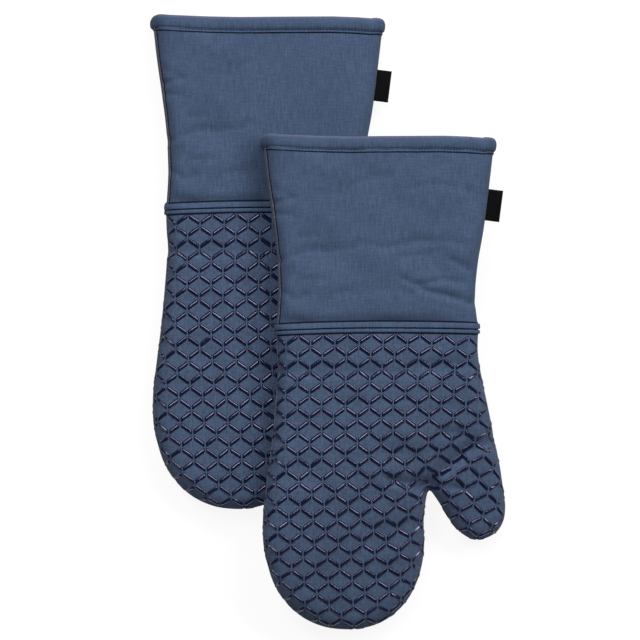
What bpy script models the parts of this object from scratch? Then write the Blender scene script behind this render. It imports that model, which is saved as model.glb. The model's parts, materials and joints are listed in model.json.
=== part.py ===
"""A pair of long-cuffed oven mitts, padded cotton under raised silicone, as they lie on a table.

The upper mitt lies across the lower one, and beyond it bends down towards the table. Every wall of a mitt
is a stack of three sheets: outer cloth, wadding and lining. Each sheet is the space between two nested
pillow shapes, cut along the seams and the fold lines by upright prisms. Metres, +Z up.
"""

import math

import bmesh
import bpy
from mathutils import Matrix, Vector

# One mitt from above
CUFF_LENGTH = 0.1427
HAND_LENGTH = 0.2129
CUFF_MOUTH_WIDTH = 0.167
HAND_WIDTH = 0.1154

# Its section: half its thickness at the bare cloth, and how far in from the side seams the rounding reaches
HALF_THICKNESS = 0.011
EDGE_WIDTH = 0.012
OUTER_EDGE_STEPS = 2
INNER_EDGE_STEPS = 1

# Sheets of the wall, from the outside in, and the clearance that parts what touches
CLEARANCE = 0.0003
CLOTH = 0.0008
WADDING = 0.003
LINING = 0.0007

# How far the silicone on the hand and the binding at the mouth stand proud of the cloth
PROUD = 0.001

# Binding folded over the mouth of the cuff
BINDING_DEPTH = 0.0105
BINDING_INNER_LEAF = 0.0007
BINDING_CAP = 0.0013

# Two folds of the welt that joins hand and cuff
WELT_PROUD = 0.0008
WELT_LOWER_FOLD = 0.0027
WELT_UPPER_FOLD = 0.0042

# Woven label, a folded ribbon in the side seam of the cuff
LABEL_WIDTH = 0.0098
LABEL_LENGTH = 0.023
LABEL_PLY = 0.0004
LABEL_FOLD = 0.0009
LABEL_FROM_MOUTH = 0.0387

# How the pair lies: where the upper mitt is, and where it starts to bend down and reaches the table
UPPER_OFFSET_X = 0.0796
UPPER_OFFSET_Y = -0.0868
DRAPE_START = 0.0426
DRAPE_END = 0.1645
DRAPE_STEP = 0.0125

# Gap at a fold, and how far a cutter passes what it cuts
FOLD_GAP = 0.0006
OVERRUN = 0.03
AXIS_SAMPLES = 24

# Mouth of the cuff to the left and right of the middle line, as shares of its width
MOUTH_LEFT_SHARE = -0.494
MOUTH_RIGHT_SHARE = 0.506

# Right side of the cuff from welt to mouth, then its left side back: the share of the way that it has flared
# from the hand's width at the welt to the width of the mouth, and the share of its length
CUFF_RIGHT_SHARES = ((0.0, 0.05), (-0.169, 0.186), (0.0, 0.357), (0.354, 0.538), (0.711, 0.779), (1.0, 1.0))
CUFF_LEFT_SHARES = ((1.0, 1.0), (0.704, 0.804), (0.292, 0.593), (0.0, 0.417), (-0.136, 0.216), (0.0, 0.05))

# Hand from the welt's left end round the fingertips and the thumb, as shares of its width and length
HAND_SHARES = (
    (-0.627, 0.0), (-0.621, -0.128), (-0.634, -0.242), (-0.658, -0.377), (-0.689, -0.512), (-0.708, -0.603),
    (-0.708, -0.697), (-0.689, -0.764), (-0.646, -0.842), (-0.571, -0.906), (-0.472, -0.956), (-0.342, -0.987),
    (-0.205, -0.998), (-0.093, -0.997), (0.019, -0.976), (0.118, -0.939), (0.193, -0.892), (0.248, -0.832),
    (0.280, -0.771), (0.292, -0.710), (0.286, -0.630), (0.298, -0.562), (0.335, -0.542), (0.379, -0.566),
    (0.422, -0.606), (0.472, -0.646), (0.534, -0.680), (0.602, -0.700), (0.677, -0.694), (0.745, -0.670),
    (0.783, -0.633), (0.795, -0.589), (0.789, -0.549), (0.764, -0.448), (0.727, -0.347), (0.689, -0.246),
    (0.652, -0.145), (0.627, -0.064), (0.627, 0.0),
)

# Fold lines of the upper mitt, as shares of the hand's width and length
CROTCH_SHARES = (0.335, -0.542)
WRIST_SHARES = (0.660, -0.030)
FORK_SHARES = (0.350, -0.595)

# Depths below the bare cloth, worked out from the sheets
WADDING_OUTSIDE = CLOTH + CLEARANCE
WADDING_INSIDE = WADDING_OUTSIDE + WADDING
LINING_OUTSIDE = WADDING_INSIDE + CLEARANCE
LINING_INSIDE = LINING_OUTSIDE + LINING
BINDING_INSIDE = LINING_INSIDE + CLEARANCE + BINDING_INNER_LEAF

# Places along the mitt, from the line where hand and cuff meet
LOWER_FOLD_END = CLEARANCE + WELT_LOWER_FOLD
UPPER_FOLD_START = LOWER_FOLD_END + CLEARANCE
UPPER_FOLD_END = UPPER_FOLD_START + WELT_UPPER_FOLD
CUFF_START = UPPER_FOLD_END + CLEARANCE
CUFF_END = CUFF_LENGTH - BINDING_CAP - CLEARANCE
REACH = 2 * (CUFF_LENGTH + HAND_LENGTH)

# Heights of the two mitts' middles
LOWER_MIDDLE = HALF_THICKNESS + PROUD
UPPER_LIFT = 2 * LOWER_MIDDLE + CLEARANCE

COLOURS = {
    "cloth": ((0.052, 0.088, 0.155), 0.9),
    "cuff": ((0.070, 0.109, 0.204), 0.9),
    "wadding": ((0.80, 0.79, 0.76), 1.0),
    "lining": ((0.30, 0.33, 0.38), 0.95),
    "binding": ((0.064, 0.100, 0.190), 0.9),
    "ribbon": ((0.012, 0.012, 0.014), 0.6),
}


def place(shares, width, length):
    """Points in metres from shares of a width and a length."""
    return [Vector((x * width, y * length)) for x, y in shares]


def cuff_side(shares, welt, mouth_share):
    """One side seam of the cuff, which flares from the hand's side at the welt to the mouth."""
    flare = mouth_share * CUFF_MOUTH_WIDTH - welt.x
    return [Vector((welt.x + flare * share, y * CUFF_LENGTH)) for share, y in shares]


def mitt_outline():
    """One mitt from above, counter-clockwise. It runs on past the mouth of the cuff, where it is cut off."""
    hand = place(HAND_SHARES, HAND_WIDTH, HAND_LENGTH)
    right = cuff_side(CUFF_RIGHT_SHARES, hand[-1], MOUTH_RIGHT_SHARE)
    left = cuff_side(CUFF_LEFT_SHARES, hand[0], MOUTH_LEFT_SHARE)
    past_mouth = Vector((0.0, OVERRUN))
    return [*hand, *right, right[-1] + past_mouth, left[0] + past_mouth, *left]


def inset_ring(outline, inset):
    """The outline moved inwards, corner for corner."""
    ring = []
    for i, point in enumerate(outline):
        before = (point - outline[i - 1]).normalized()
        after = (outline[(i + 1) % len(outline)] - point).normalized()
        normal = Vector((-before.y, before.x))
        inward = (normal + Vector((-after.y, after.x))).normalized()
        ring.append(point + inward * inset / inward.dot(normal))
    return ring


def seam_x(y):
    """How far out the right side seam of the cuff is at a place along it."""
    welt = place(HAND_SHARES, HAND_WIDTH, HAND_LENGTH)[-1]
    points = cuff_side(CUFF_RIGHT_SHARES, welt, MOUTH_RIGHT_SHARE)
    for low, high in zip(points, points[1:]):
        if y <= high.y or high == points[-1]:
            return low.x + (high.x - low.x) * (y - low.y) / (high.y - low.y)


def drape_direction():
    """The way from the lower mitt to the upper one, along which the upper one bends down."""
    return Vector((UPPER_OFFSET_X, UPPER_OFFSET_Y)).normalized()


def droop(x, y):
    """How far the upper mitt has come down at a point, from nothing on the lower mitt to the whole lift."""
    along = (drape_direction().dot(Vector((x, y))) - DRAPE_START) / (DRAPE_END - DRAPE_START)
    share = min(max(along, 0.0), 1.0)
    return UPPER_LIFT * share * share * (3 - 2 * share)


def cut_for_drape(mesh):
    """Adds the edges along which a draped sheet bends."""
    across = drape_direction().to_3d()
    count = math.ceil((DRAPE_END - DRAPE_START) / DRAPE_STEP)
    for i in range(count):
        where = across * (DRAPE_START + (DRAPE_END - DRAPE_START) * i / count)
        whole = mesh.verts[:] + mesh.edges[:] + mesh.faces[:]
        bmesh.ops.bisect_plane(mesh, geom=whole, dist=CLEARANCE / 100, plane_co=where, plane_no=across)


def pillow(depth, proud=0.0, steps=OUTER_EDGE_STEPS, draped=False):
    """A closed pillow with rounded edges, this deep inside the bare cloth and this much thicker on its faces."""
    outline = mitt_outline()
    mesh = bmesh.new()
    middle = [mesh.verts.new((*point, 0.0)) for point in inset_ring(outline, depth)]
    for side in (1, -1):
        ring = middle
        for step in range(1, steps + 1):
            angle = math.pi / 2 * step / steps
            inset = depth + (EDGE_WIDTH - depth) * (1 - math.cos(angle))
            height = side * (HALF_THICKNESS - depth + proud) * math.sin(angle)
            inner = [mesh.verts.new((*point, height)) for point in inset_ring(outline, inset)]
            for i in range(len(ring)):
                mesh.faces.new((ring[i - 1], ring[i], inner[i], inner[i - 1]))
            ring = inner
        mesh.faces.new(ring)
    if draped:
        cut_for_drape(mesh)
    bmesh.ops.triangulate(mesh, faces=mesh.faces)
    bmesh.ops.recalc_face_normals(mesh, faces=mesh.faces)
    data = bpy.data.meshes.new("pillow")
    mesh.to_mesh(data)
    mesh.free()
    return data


def between(outer, inner):
    """The space between two nested pillows."""
    mesh = bmesh.new()
    mesh.from_mesh(inner)
    bmesh.ops.reverse_faces(mesh, faces=mesh.faces)
    mesh.from_mesh(outer)
    data = bpy.data.meshes.new("sheet")
    mesh.to_mesh(data)
    mesh.free()
    return data


def cutter(data):
    """An object that only cuts."""
    made = bpy.data.objects.new("cutter", data)
    made.hide_render = True
    made.display_type = "WIRE"
    bpy.data.collections["cutters"].objects.link(made)
    return made


def prism(points, bottom=-REACH, top=REACH):
    """An upright prism over a plan."""
    mesh = bmesh.new()
    base = mesh.faces.new([mesh.verts.new((*point, bottom)) for point in points])
    raised = bmesh.ops.extrude_face_region(mesh, geom=[base])["geom"]
    corners = [v for v in raised if isinstance(v, bmesh.types.BMVert)]
    bmesh.ops.translate(mesh, verts=corners, vec=(0.0, 0.0, top - bottom))
    bmesh.ops.recalc_face_normals(mesh, faces=mesh.faces)
    data = bpy.data.meshes.new("prism")
    mesh.to_mesh(data)
    mesh.free()
    return cutter(data)


def slab(low_y, high_y, bottom=-REACH, top=REACH):
    """A prism right across the mitt between two places along it."""
    corners = ((-REACH, low_y), (REACH, low_y), (REACH, high_y), (-REACH, high_y))
    return prism([Vector(corner) for corner in corners], bottom, top)


def cut(data, keep=(), remove=()):
    """A copy of the mesh, inside every object in keep and outside every object in remove."""
    blank = cutter(data.copy())
    for operation, tools in (("INTERSECT", keep), ("DIFFERENCE", remove)):
        for tool in tools:
            modifier = blank.modifiers.new(operation, "BOOLEAN")
            modifier.operation = operation
            modifier.object = tool
    depsgraph = bpy.context.evaluated_depsgraph_get()
    result = bpy.data.meshes.new_from_object(blank.evaluated_get(depsgraph))
    bpy.data.objects.remove(blank)
    return result


def material(kind):
    """A plain finish in the colour of one kind of stuff."""
    if kind not in bpy.data.materials:
        colour, roughness = COLOURS[kind]
        made = bpy.data.materials.new(kind)
        made.use_nodes = True
        shader = made.node_tree.nodes["Principled BSDF"]
        shader.inputs["Base Color"].default_value = (*colour, 1.0)
        shader.inputs["Roughness"].default_value = roughness
        shader.inputs["Metallic"].default_value = 0.0
    return bpy.data.materials[kind]


def anchor(name, position, parent=None):
    """An empty that a mitt or a moving piece hangs on."""
    empty = bpy.data.objects.new(name, None)
    empty.location = position
    empty.parent = parent
    bpy.data.collections["anchors"].objects.link(empty)
    return empty


def add_part(name, data, kind, parent):
    """One named piece, hung on its mitt or on the line that it turns about."""
    data.materials.clear()
    data.materials.append(material(kind))
    part = bpy.data.objects.new(name, data)
    part.parent = parent
    bpy.data.collections["oven_mitts"].objects.link(part)
    return part


def drape(data):
    """Lowers every point of a sheet of the upper mitt by its droop. Its cut faces get edges to bend along too."""
    mesh = bmesh.new()
    mesh.from_mesh(data)
    cut_for_drape(mesh)
    bmesh.ops.triangulate(mesh, faces=mesh.faces)
    for vertex in mesh.verts:
        vertex.co.z -= droop(vertex.co.x, vertex.co.y)
    mesh.to_mesh(data)
    mesh.free()


def fold_line():
    """The crotch, the way from it to the wrist, and the way out to the thumb square to that."""
    crotch, wrist = place((CROTCH_SHARES, WRIST_SHARES), HAND_WIDTH, HAND_LENGTH)
    along = (wrist - crotch).normalized()
    return crotch, along, Vector((along.y, -along.x))


def fork():
    """A point in the free space between fingers and thumb, level with the fold of the fingers."""
    return place((FORK_SHARES,), HAND_WIDTH, HAND_LENGTH)[0]


def thumb_plan(gap):
    """Everything outside the thumb's fold line, and right of the fork."""
    crotch, along, out = fold_line()
    start = crotch + out * gap
    below = Vector((fork().x, -REACH))
    return [fork(), below, start + (out - along) * REACH, start + (out + along) * REACH, start + along * REACH, start]


def fingers_plan(gap):
    """Everything below the fingers' fold line, and left of the fork."""
    edge = fork().y - gap
    return [Vector((-REACH, edge)), Vector((-REACH, -REACH)), Vector((fork().x, -REACH)), Vector((fork().x, edge))]


def axis_over(start, end):
    """The line just over the draped mitt between two places in its plan: where it starts and its way."""
    top = LOWER_MIDDLE
    low, high = top - droop(*start), top - droop(*end)
    samples = [i / AXIS_SAMPLES for i in range(AXIS_SAMPLES + 1)]
    rise = max(top - droop(*start.lerp(end, share)) - low - (high - low) * share for share in samples)
    rise += CLEARANCE
    first = Vector((*start, low + rise))
    return first, (Vector((*end, high + rise)) - first).normalized()


def fingers_axis():
    """The fold of the fingers, from the fork to the far side seam: turning about it lifts the fingertips."""
    return axis_over(fork(), Vector((min(point.x for point in mitt_outline()), fork().y)))


def thumb_axis():
    """The fold of the thumb, from the wrist to the crotch: turning about it lifts the thumb."""
    crotch, wrist = place((CROTCH_SHARES, WRIST_SHARES), HAND_WIDTH, HAND_LENGTH)
    return axis_over(wrist, crotch)


def hand_segments(folding):
    """The hand in one piece, or cut along the fold lines: a name, and what to keep and to take away."""
    whole_hand = slab(-REACH, 0.0)
    if not folding:
        return (("hand", (whole_hand,), ()),)
    half_gap = FOLD_GAP / 2
    return (
        ("palm", (whole_hand,), (prism(thumb_plan(-half_gap)), prism(fingers_plan(-half_gap)))),
        ("fingers", (prism(fingers_plan(half_gap)),), ()),
        ("thumb", (whole_hand, prism(thumb_plan(half_gap))), ()),
    )


def binding_mesh():
    """The strip folded over the mouth of the cuff: its outer leaf, the cap past the wall, and its inner leaf."""
    stock = between(pillow(0.0, PROUD), pillow(BINDING_INSIDE, 0.0, INNER_EDGE_STEPS))
    wall = between(pillow(-CLEARANCE), pillow(LINING_INSIDE + CLEARANCE, 0.0, INNER_EDGE_STEPS))
    wall_in_binding = cutter(cut(wall, keep=(slab(-REACH, CUFF_END + CLEARANCE),)))
    return cut(stock, keep=(slab(CUFF_LENGTH - BINDING_DEPTH, CUFF_LENGTH),), remove=(wall_in_binding,))


def label_mesh():
    """A ribbon folded in two, lying along the side seam, with its raw ends at the axis where it bends."""
    thickness = 2 * LABEL_PLY + CLEARANCE
    mesh = bmesh.new()
    bmesh.ops.create_cube(mesh, size=1.0)
    bmesh.ops.scale(mesh, vec=(LABEL_WIDTH, LABEL_LENGTH, thickness), verts=mesh.verts)
    bmesh.ops.translate(mesh, vec=(LABEL_WIDTH / 2, 0.0, 0.0), verts=mesh.verts)
    data = bpy.data.meshes.new("ribbon")
    mesh.to_mesh(data)
    bmesh.ops.scale(mesh, vec=(1.0, 2.0, CLEARANCE / thickness), verts=mesh.verts)
    bmesh.ops.translate(mesh, vec=(-LABEL_FOLD, 0.0, 0.0), verts=mesh.verts)
    slit = bpy.data.meshes.new("slit")
    mesh.to_mesh(slit)
    mesh.free()
    return cut(data, remove=(cutter(slit),))


def add_label(side, mitt):
    """The label of one mitt, on the line beside the seam that it bends about."""
    top = CUFF_LENGTH - LABEL_FROM_MOUTH
    bottom = top - LABEL_LENGTH
    seam = Vector((seam_x(top) - seam_x(bottom), LABEL_LENGTH))
    off_seam = CLEARANCE + LABEL_PLY + CLEARANCE / 2
    middle = (seam_x(top) + seam_x(bottom)) / 2 + off_seam
    hinge = anchor(side + "_label_bend", (middle, (top + bottom) / 2, 0.0), mitt)
    hinge.rotation_euler.z = -math.atan2(seam.x, seam.y)
    add_part(side + "_label", label_mesh(), "ribbon", hinge)


def add_mitt(side, mitt, folding):
    """One mitt. A folding one hangs its fingers and its thumb on anchors of their own, and is draped."""
    front = slab(-REACH, REACH, bottom=CLEARANCE / 2)
    back = slab(-REACH, REACH, top=-CLEARANCE / 2)
    cloth_inside = pillow(CLOTH, draped=folding)
    wadding_inside = pillow(WADDING_INSIDE, steps=INNER_EDGE_STEPS, draped=folding)
    lining_outside = pillow(LINING_OUTSIDE, steps=INNER_EDGE_STEPS, draped=folding)
    lining_inside = pillow(LINING_INSIDE, steps=INNER_EDGE_STEPS, draped=folding)
    hand_cloth = between(pillow(0.0, PROUD, draped=folding), cloth_inside)
    cuff_cloth = between(pillow(0.0, draped=folding), cloth_inside)
    wadding = between(pillow(WADDING_OUTSIDE, draped=folding), wadding_inside)
    lining = between(lining_outside, lining_inside)
    welt = between(pillow(-WELT_PROUD, draped=folding), cloth_inside)
    sheets = (
        ("cloth", hand_cloth, cuff_cloth, "cloth", "cuff", CUFF_START),
        ("wadding", wadding, wadding, "wadding", "wadding", CLEARANCE),
        ("lining", lining, lining, "lining", "lining", CLEARANCE),
    )
    segments = hand_segments(folding)
    places = {}
    if folding:
        for segment, (start, way) in (("fingers", fingers_axis()), ("thumb", thumb_axis())):
            hinge = anchor(f"{side}_{segment}_fold", start, mitt)
            hinge.rotation_euler = way.to_track_quat("X", "Z").to_euler()
            turned = Matrix.Translation(start) @ hinge.rotation_euler.to_matrix().to_4x4()
            places[segment] = (hinge, turned.inverted())

    def add(name, data, kind, segment=None):
        if folding:
            drape(data)
        parent, into_parent = places.get(segment, (mitt, Matrix()))
        data.transform(into_parent)
        add_part(f"{side}_{name}", data, kind, parent)

    for face, half in (("top", front), ("bottom", back)):
        for sheet, on_hand, on_cuff, hand_kind, cuff_kind, cuff_start in sheets:
            for segment, keep, remove in segments:
                add(f"{segment}_{face}_{sheet}", cut(on_hand, (half, *keep), remove), hand_kind, segment)
            cuff = cut(on_cuff, (half, slab(cuff_start, CUFF_END)))
            add(f"cuff_{face}_{sheet}", cuff, cuff_kind)
    add("welt_lower_fold", cut(welt, (slab(CLEARANCE, LOWER_FOLD_END),)), "binding")
    add("welt_upper_fold", cut(welt, (slab(UPPER_FOLD_START, UPPER_FOLD_END),)), "binding")
    add("mouth_binding", binding_mesh(), "binding")
    add_label(side, mitt)


def start_afresh():
    """Empties the scene and makes the collections."""
    for old in list(bpy.data.objects):
        bpy.data.objects.remove(old)
    for name in ("oven_mitts", "anchors", "cutters"):
        bpy.context.scene.collection.children.link(bpy.data.collections.new(name))


def centre_on_table(pair):
    """Puts the origin at the middle of the pair's plan, on the table."""
    bpy.context.view_layer.update()
    points = [part.matrix_world @ vertex.co
              for part in bpy.data.collections["oven_mitts"].objects for vertex in part.data.vertices]
    for axis in (0, 1):
        places = [point[axis] for point in points]
        pair.location[axis] = -(min(places) + max(places)) / 2


def main():
    start_afresh()
    pair = anchor("pair", (0.0, 0.0, LOWER_MIDDLE))
    upper = anchor("upper_mitt", (UPPER_OFFSET_X, UPPER_OFFSET_Y, UPPER_LIFT), pair)
    add_mitt("lower", pair, folding=False)
    add_mitt("upper", upper, folding=True)
    centre_on_table(pair)


main()
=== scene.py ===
import json
import math
from collections import namedtuple

import bmesh
import bpy
import numpy as np
from bpy.props import FloatProperty, FloatVectorProperty, PointerProperty
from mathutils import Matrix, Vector, geometry


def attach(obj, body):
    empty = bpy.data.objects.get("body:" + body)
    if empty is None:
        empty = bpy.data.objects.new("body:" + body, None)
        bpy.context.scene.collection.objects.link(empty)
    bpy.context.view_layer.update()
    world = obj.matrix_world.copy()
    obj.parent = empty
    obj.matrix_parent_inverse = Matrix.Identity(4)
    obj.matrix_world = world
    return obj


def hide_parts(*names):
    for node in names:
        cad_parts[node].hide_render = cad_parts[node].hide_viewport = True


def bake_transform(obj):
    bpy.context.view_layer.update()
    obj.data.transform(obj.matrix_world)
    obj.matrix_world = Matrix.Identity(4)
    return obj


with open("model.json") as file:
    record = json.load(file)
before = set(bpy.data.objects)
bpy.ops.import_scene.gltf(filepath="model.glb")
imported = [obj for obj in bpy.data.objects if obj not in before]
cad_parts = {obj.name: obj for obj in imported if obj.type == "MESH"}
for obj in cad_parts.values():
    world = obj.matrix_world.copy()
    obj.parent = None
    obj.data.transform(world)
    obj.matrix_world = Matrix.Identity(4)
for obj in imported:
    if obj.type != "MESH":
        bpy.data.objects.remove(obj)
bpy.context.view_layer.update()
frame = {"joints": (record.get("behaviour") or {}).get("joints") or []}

bl_info = {
    "name": "Silicone Oven Mitts",
    "version": (1, 0, 0),
    "blender": (4, 5, 0),
    "location": "View3D > Sidebar > Oven Mitts",
    "description": "Builds a pair of long-cuffed quilted oven mitts with raised silicone bars",
    "category": "Add Mesh",
}

MM = 0.001
MITTS = ("lower", "upper")
# The upper and the lower face of a mitt
FACES = (1, -1)

# Where the lower mitt lies, at the middle of the line between hand and cuff, and the upper one from there
LOWER_ORIGIN = np.array((-44.39, 78.26, 12.0)) * MM
UPPER_OFFSET = np.array((79.6, -86.8)) * MM
UPPER_LIFT = 24.3 * MM
ORIGINS = {"lower": LOWER_ORIGIN, "upper": LOWER_ORIGIN + (*UPPER_OFFSET, UPPER_LIFT)}
# The upper mitt comes down to the table between these two places along that offset
DRAPE_START, DRAPE_END = 42.6 * MM, 164.5 * MM

# The seam line of one mitt from above, in millimetres: down the left side, round the fingertips and the
# thumb, and up the right side. It runs on past the mouth of the cuff at both ends.
SEAM_LINE = (
    (-86.5, 180.0), (-82.5, 142.7), (-79.5, 114.7), (-75.3, 84.6), (-72.3, 59.5), (-71.0, 30.8), (-72.2, 7.1),
    (-72.4, 0.0), (-71.7, -27.3), (-73.2, -51.5), (-75.9, -80.3), (-79.5, -109.0), (-81.7, -128.4),
    (-81.7, -148.4), (-79.2, -162.7), (-73.9, -179.3), (-65.0, -192.9), (-53.4, -203.5), (-38.5, -210.1),
    (-22.9, -212.5), (-9.7, -212.0), (3.4, -207.8), (14.8, -199.9), (23.4, -189.9), (29.6, -177.1),
    (33.0, -164.1), (34.2, -151.2), (33.8, -134.1), (34.9, -122.0), (36.4, -115.0), (38.2, -112.8),
    (40.9, -115.4), (45.0, -121.4), (50.0, -129.6), (55.2, -137.5), (61.8, -144.0), (69.5, -147.9),
    (78.3, -147.3), (86.6, -142.6), (91.4, -134.8), (92.8, -125.4), (92.0, -116.9), (88.8, -95.4),
    (84.4, -73.9), (79.9, -52.4), (75.2, -30.9), (72.4, -13.6), (72.4, 0.0), (72.2, 7.1), (70.3, 26.5),
    (72.3, 50.9), (76.7, 76.8), (81.0, 111.2), (84.5, 142.7), (88.1, 180.0),
)
SEAM_SPACING = 1.8 * MM

# Where hand and cuff begin and end along the mitt, and the two ends of the line that the thumb folds on
MOUTH = 142.7 * MM
HAND_TOP = 3.0 * MM
CUFF_BOTTOM = 5.0 * MM
CUFF_TOP = 141.1 * MM
CROTCH = np.array((38.2, -112.8)) * MM
WRIST = np.array((76.2, -6.4)) * MM
# The wrist's end is looked for this many points past the crotch, and above this place
PAST_CROTCH, WRIST_ABOVE = 20, -60 * MM

# Depth of each sheet of the wall below the outside of the cloth, and its thickness
CLOTH_THICKNESS = 0.8 * MM
WADDING_DEPTH, WADDING_THICKNESS = 1.3 * MM, 2.6 * MM
LINING_DEPTH, LINING_THICKNESS = 4.4 * MM, 0.7 * MM


def linear(hex_colour):
    """A linear colour from an sRGB hex value."""
    parts = [int(hex_colour[i:i + 2], 16) / 255 for i in (0, 2, 4)]
    return tuple(c / 12.92 if c <= 0.04045 else ((c + 0.055) / 1.055) ** 2.4 for c in parts)


# The shape of one mitt

def smooth_line(points, spacing, steps=16):
    """A smooth curve through points, as points at an even spacing."""
    p = np.asarray(points, float)
    p = np.vstack((2 * p[0] - p[1], p, 2 * p[-1] - p[-2]))
    t = np.linspace(0, 1, steps, endpoint=False)[:, None]
    fine = []
    for a, b, c, d in zip(p, p[1:], p[2:], p[3:]):
        fine.append(0.5 * (2 * b + (c - a) * t + (2 * a - 5 * b + 4 * c - d) * t ** 2
                           + (3 * b - a - 3 * c + d) * t ** 3))
    fine = np.vstack((*fine, p[-2:-1]))
    along = np.concatenate(([0], np.cumsum(np.linalg.norm(np.diff(fine, axis=0), axis=1))))
    even = np.linspace(0, along[-1], int(round(along[-1] / spacing)) + 1)
    return np.column_stack([np.interp(even, along, fine[:, k]) for k in range(2)])


def smoothstep(x):
    """A smooth step up, from 0 to 1."""
    x = np.clip(x, 0, 1)
    return x * x * (3 - 2 * x)


SEAM = smooth_line(np.array(SEAM_LINE) * MM, SEAM_SPACING)
ahead = np.gradient(SEAM, axis=0)
ahead /= np.linalg.norm(ahead, axis=1)[:, None]
SEAM_INWARD = np.column_stack((-ahead[:, 1], ahead[:, 0]))
CROTCH_AT = int(np.argmin(np.linalg.norm(SEAM - CROTCH, axis=1)))


class Profile:
    """The rounded edge of a mitt: a quarter ellipse from the seam up to the flat of the face."""

    def __init__(self, width, height, samples=400):
        self.width, self.height = width, height
        a = np.linspace(0, math.pi / 2, samples)
        depth, rise = width * (1 - np.cos(a)), height * np.sin(a)
        along = np.concatenate(([0], np.cumsum(np.hypot(np.diff(depth), np.diff(rise)))))
        self.depths, self.alongs = depth, along
        self.arc = along[-1]
        self.spare = self.arc - width

    def depth(self, along):
        """How far in from the seam line a point is, from its way along the cloth."""
        along = np.maximum(along, 0)
        return np.where(along < self.arc, np.interp(along, self.alongs, self.depths), along - self.spare)

    def along(self, depth):
        """The way along the cloth from the seam, from how far in a point is."""
        depth = np.maximum(depth, 0)
        return np.where(depth < self.width, np.interp(depth, self.depths, self.alongs), depth + self.spare)


# How many points are measured against the seam at once
BATCH = 3000


def nearest(points, first=0, last=None):
    """Distance of points inside the seam line, minus outside it, and the way inwards there."""
    a, b = SEAM[first:last][:-1], SEAM[first:last][1:]
    na, nb = SEAM_INWARD[first:last][:-1], SEAM_INWARD[first:last][1:]
    ab = b - a
    length2 = (ab ** 2).sum(1)
    distance, inward = np.empty(len(points)), np.empty((len(points), 2))
    for start in range(0, len(points), BATCH):
        p = points[start:start + BATCH]
        t = np.clip(((p[:, None, :] - a) * ab).sum(2) / length2, 0, 1)
        d2 = ((p[:, None, :] - a - ab * t[:, :, None]) ** 2).sum(2)
        best = d2.argmin(1)
        rows = np.arange(len(p))
        share = t[rows, best][:, None]
        n = na[best] * (1 - share) + nb[best] * share
        n /= np.linalg.norm(n, axis=1)[:, None]
        foot = a[best] + ab[best] * share
        inside = np.sign(((p - foot) * n).sum(1))
        distance[start:start + BATCH] = np.where(inside == 0, 1, inside) * np.sqrt(d2[rows, best])
        inward[start:start + BATCH] = n
    return distance, inward


def from_flat(flat, profile, first=0, last=None):
    """Where points of the flat cloth come to lie in the plan: place, depth and the way inwards."""
    distance, inward = nearest(flat, first, last)
    depth = profile.depth(np.maximum(distance + profile.spare, 0.0))
    return flat + inward * (depth - distance)[:, None], depth, inward


def to_flat(plan, depth, inward, profile):
    """Where points of the plan were in the flat cloth, which gives the weave its place."""
    return plan + inward * (profile.along(depth) - profile.spare - depth)[:, None]


def on_surface(plan, depth, inward, side, height, profile):
    """Points of one mitt, in its own frame: height above the cloth at a place in the plan."""
    across = np.clip(1 - depth / profile.width, 0, 1)
    up = np.sqrt(1 - across ** 2)
    nx, nz = across / profile.width, up / profile.height
    size = np.hypot(nx, nz)
    nx, nz = nx / size, nz / size
    side = np.broadcast_to(side, depth.shape)
    xy = plan - inward * (nx * height)[:, None]
    return np.column_stack((xy, side * (profile.height * up + nz * height)))


def ripples(points, wavelength, seed, count=9):
    """Soft undulations of about one wavelength, from -1 to 1."""
    draw = np.random.RandomState(seed)
    total = np.zeros(len(points))
    for _ in range(count):
        angle, phase = draw.uniform(0, math.pi), draw.uniform(0, 2 * math.pi)
        k = 2 * math.pi / (wavelength * draw.uniform(0.7, 1.4))
        total += np.cos(k * (points[:, 0] * math.cos(angle) + points[:, 1] * math.sin(angle)) + phase)
    return total / (count / 2)


def distance_to_line(points, line):
    """Distance of points to a polyline, and on which side of it they are."""
    line = smooth_line(np.array(line) * MM, 2 * MM)
    a, ab = line[:-1], np.diff(line, axis=0)
    t = np.clip(((points[:, None, :] - a) * ab).sum(2) / (ab ** 2).sum(1), 0, 1)
    gap = points[:, None, :] - a - ab * t[:, :, None]
    d2 = (gap ** 2).sum(2)
    best = d2.argmin(1)
    rows = np.arange(len(points))
    g = gap[rows, best]
    turn = ab[best, 0] * g[:, 1] - ab[best, 1] * g[:, 0]
    return np.sqrt(d2[rows, best]), np.sign(turn)


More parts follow.
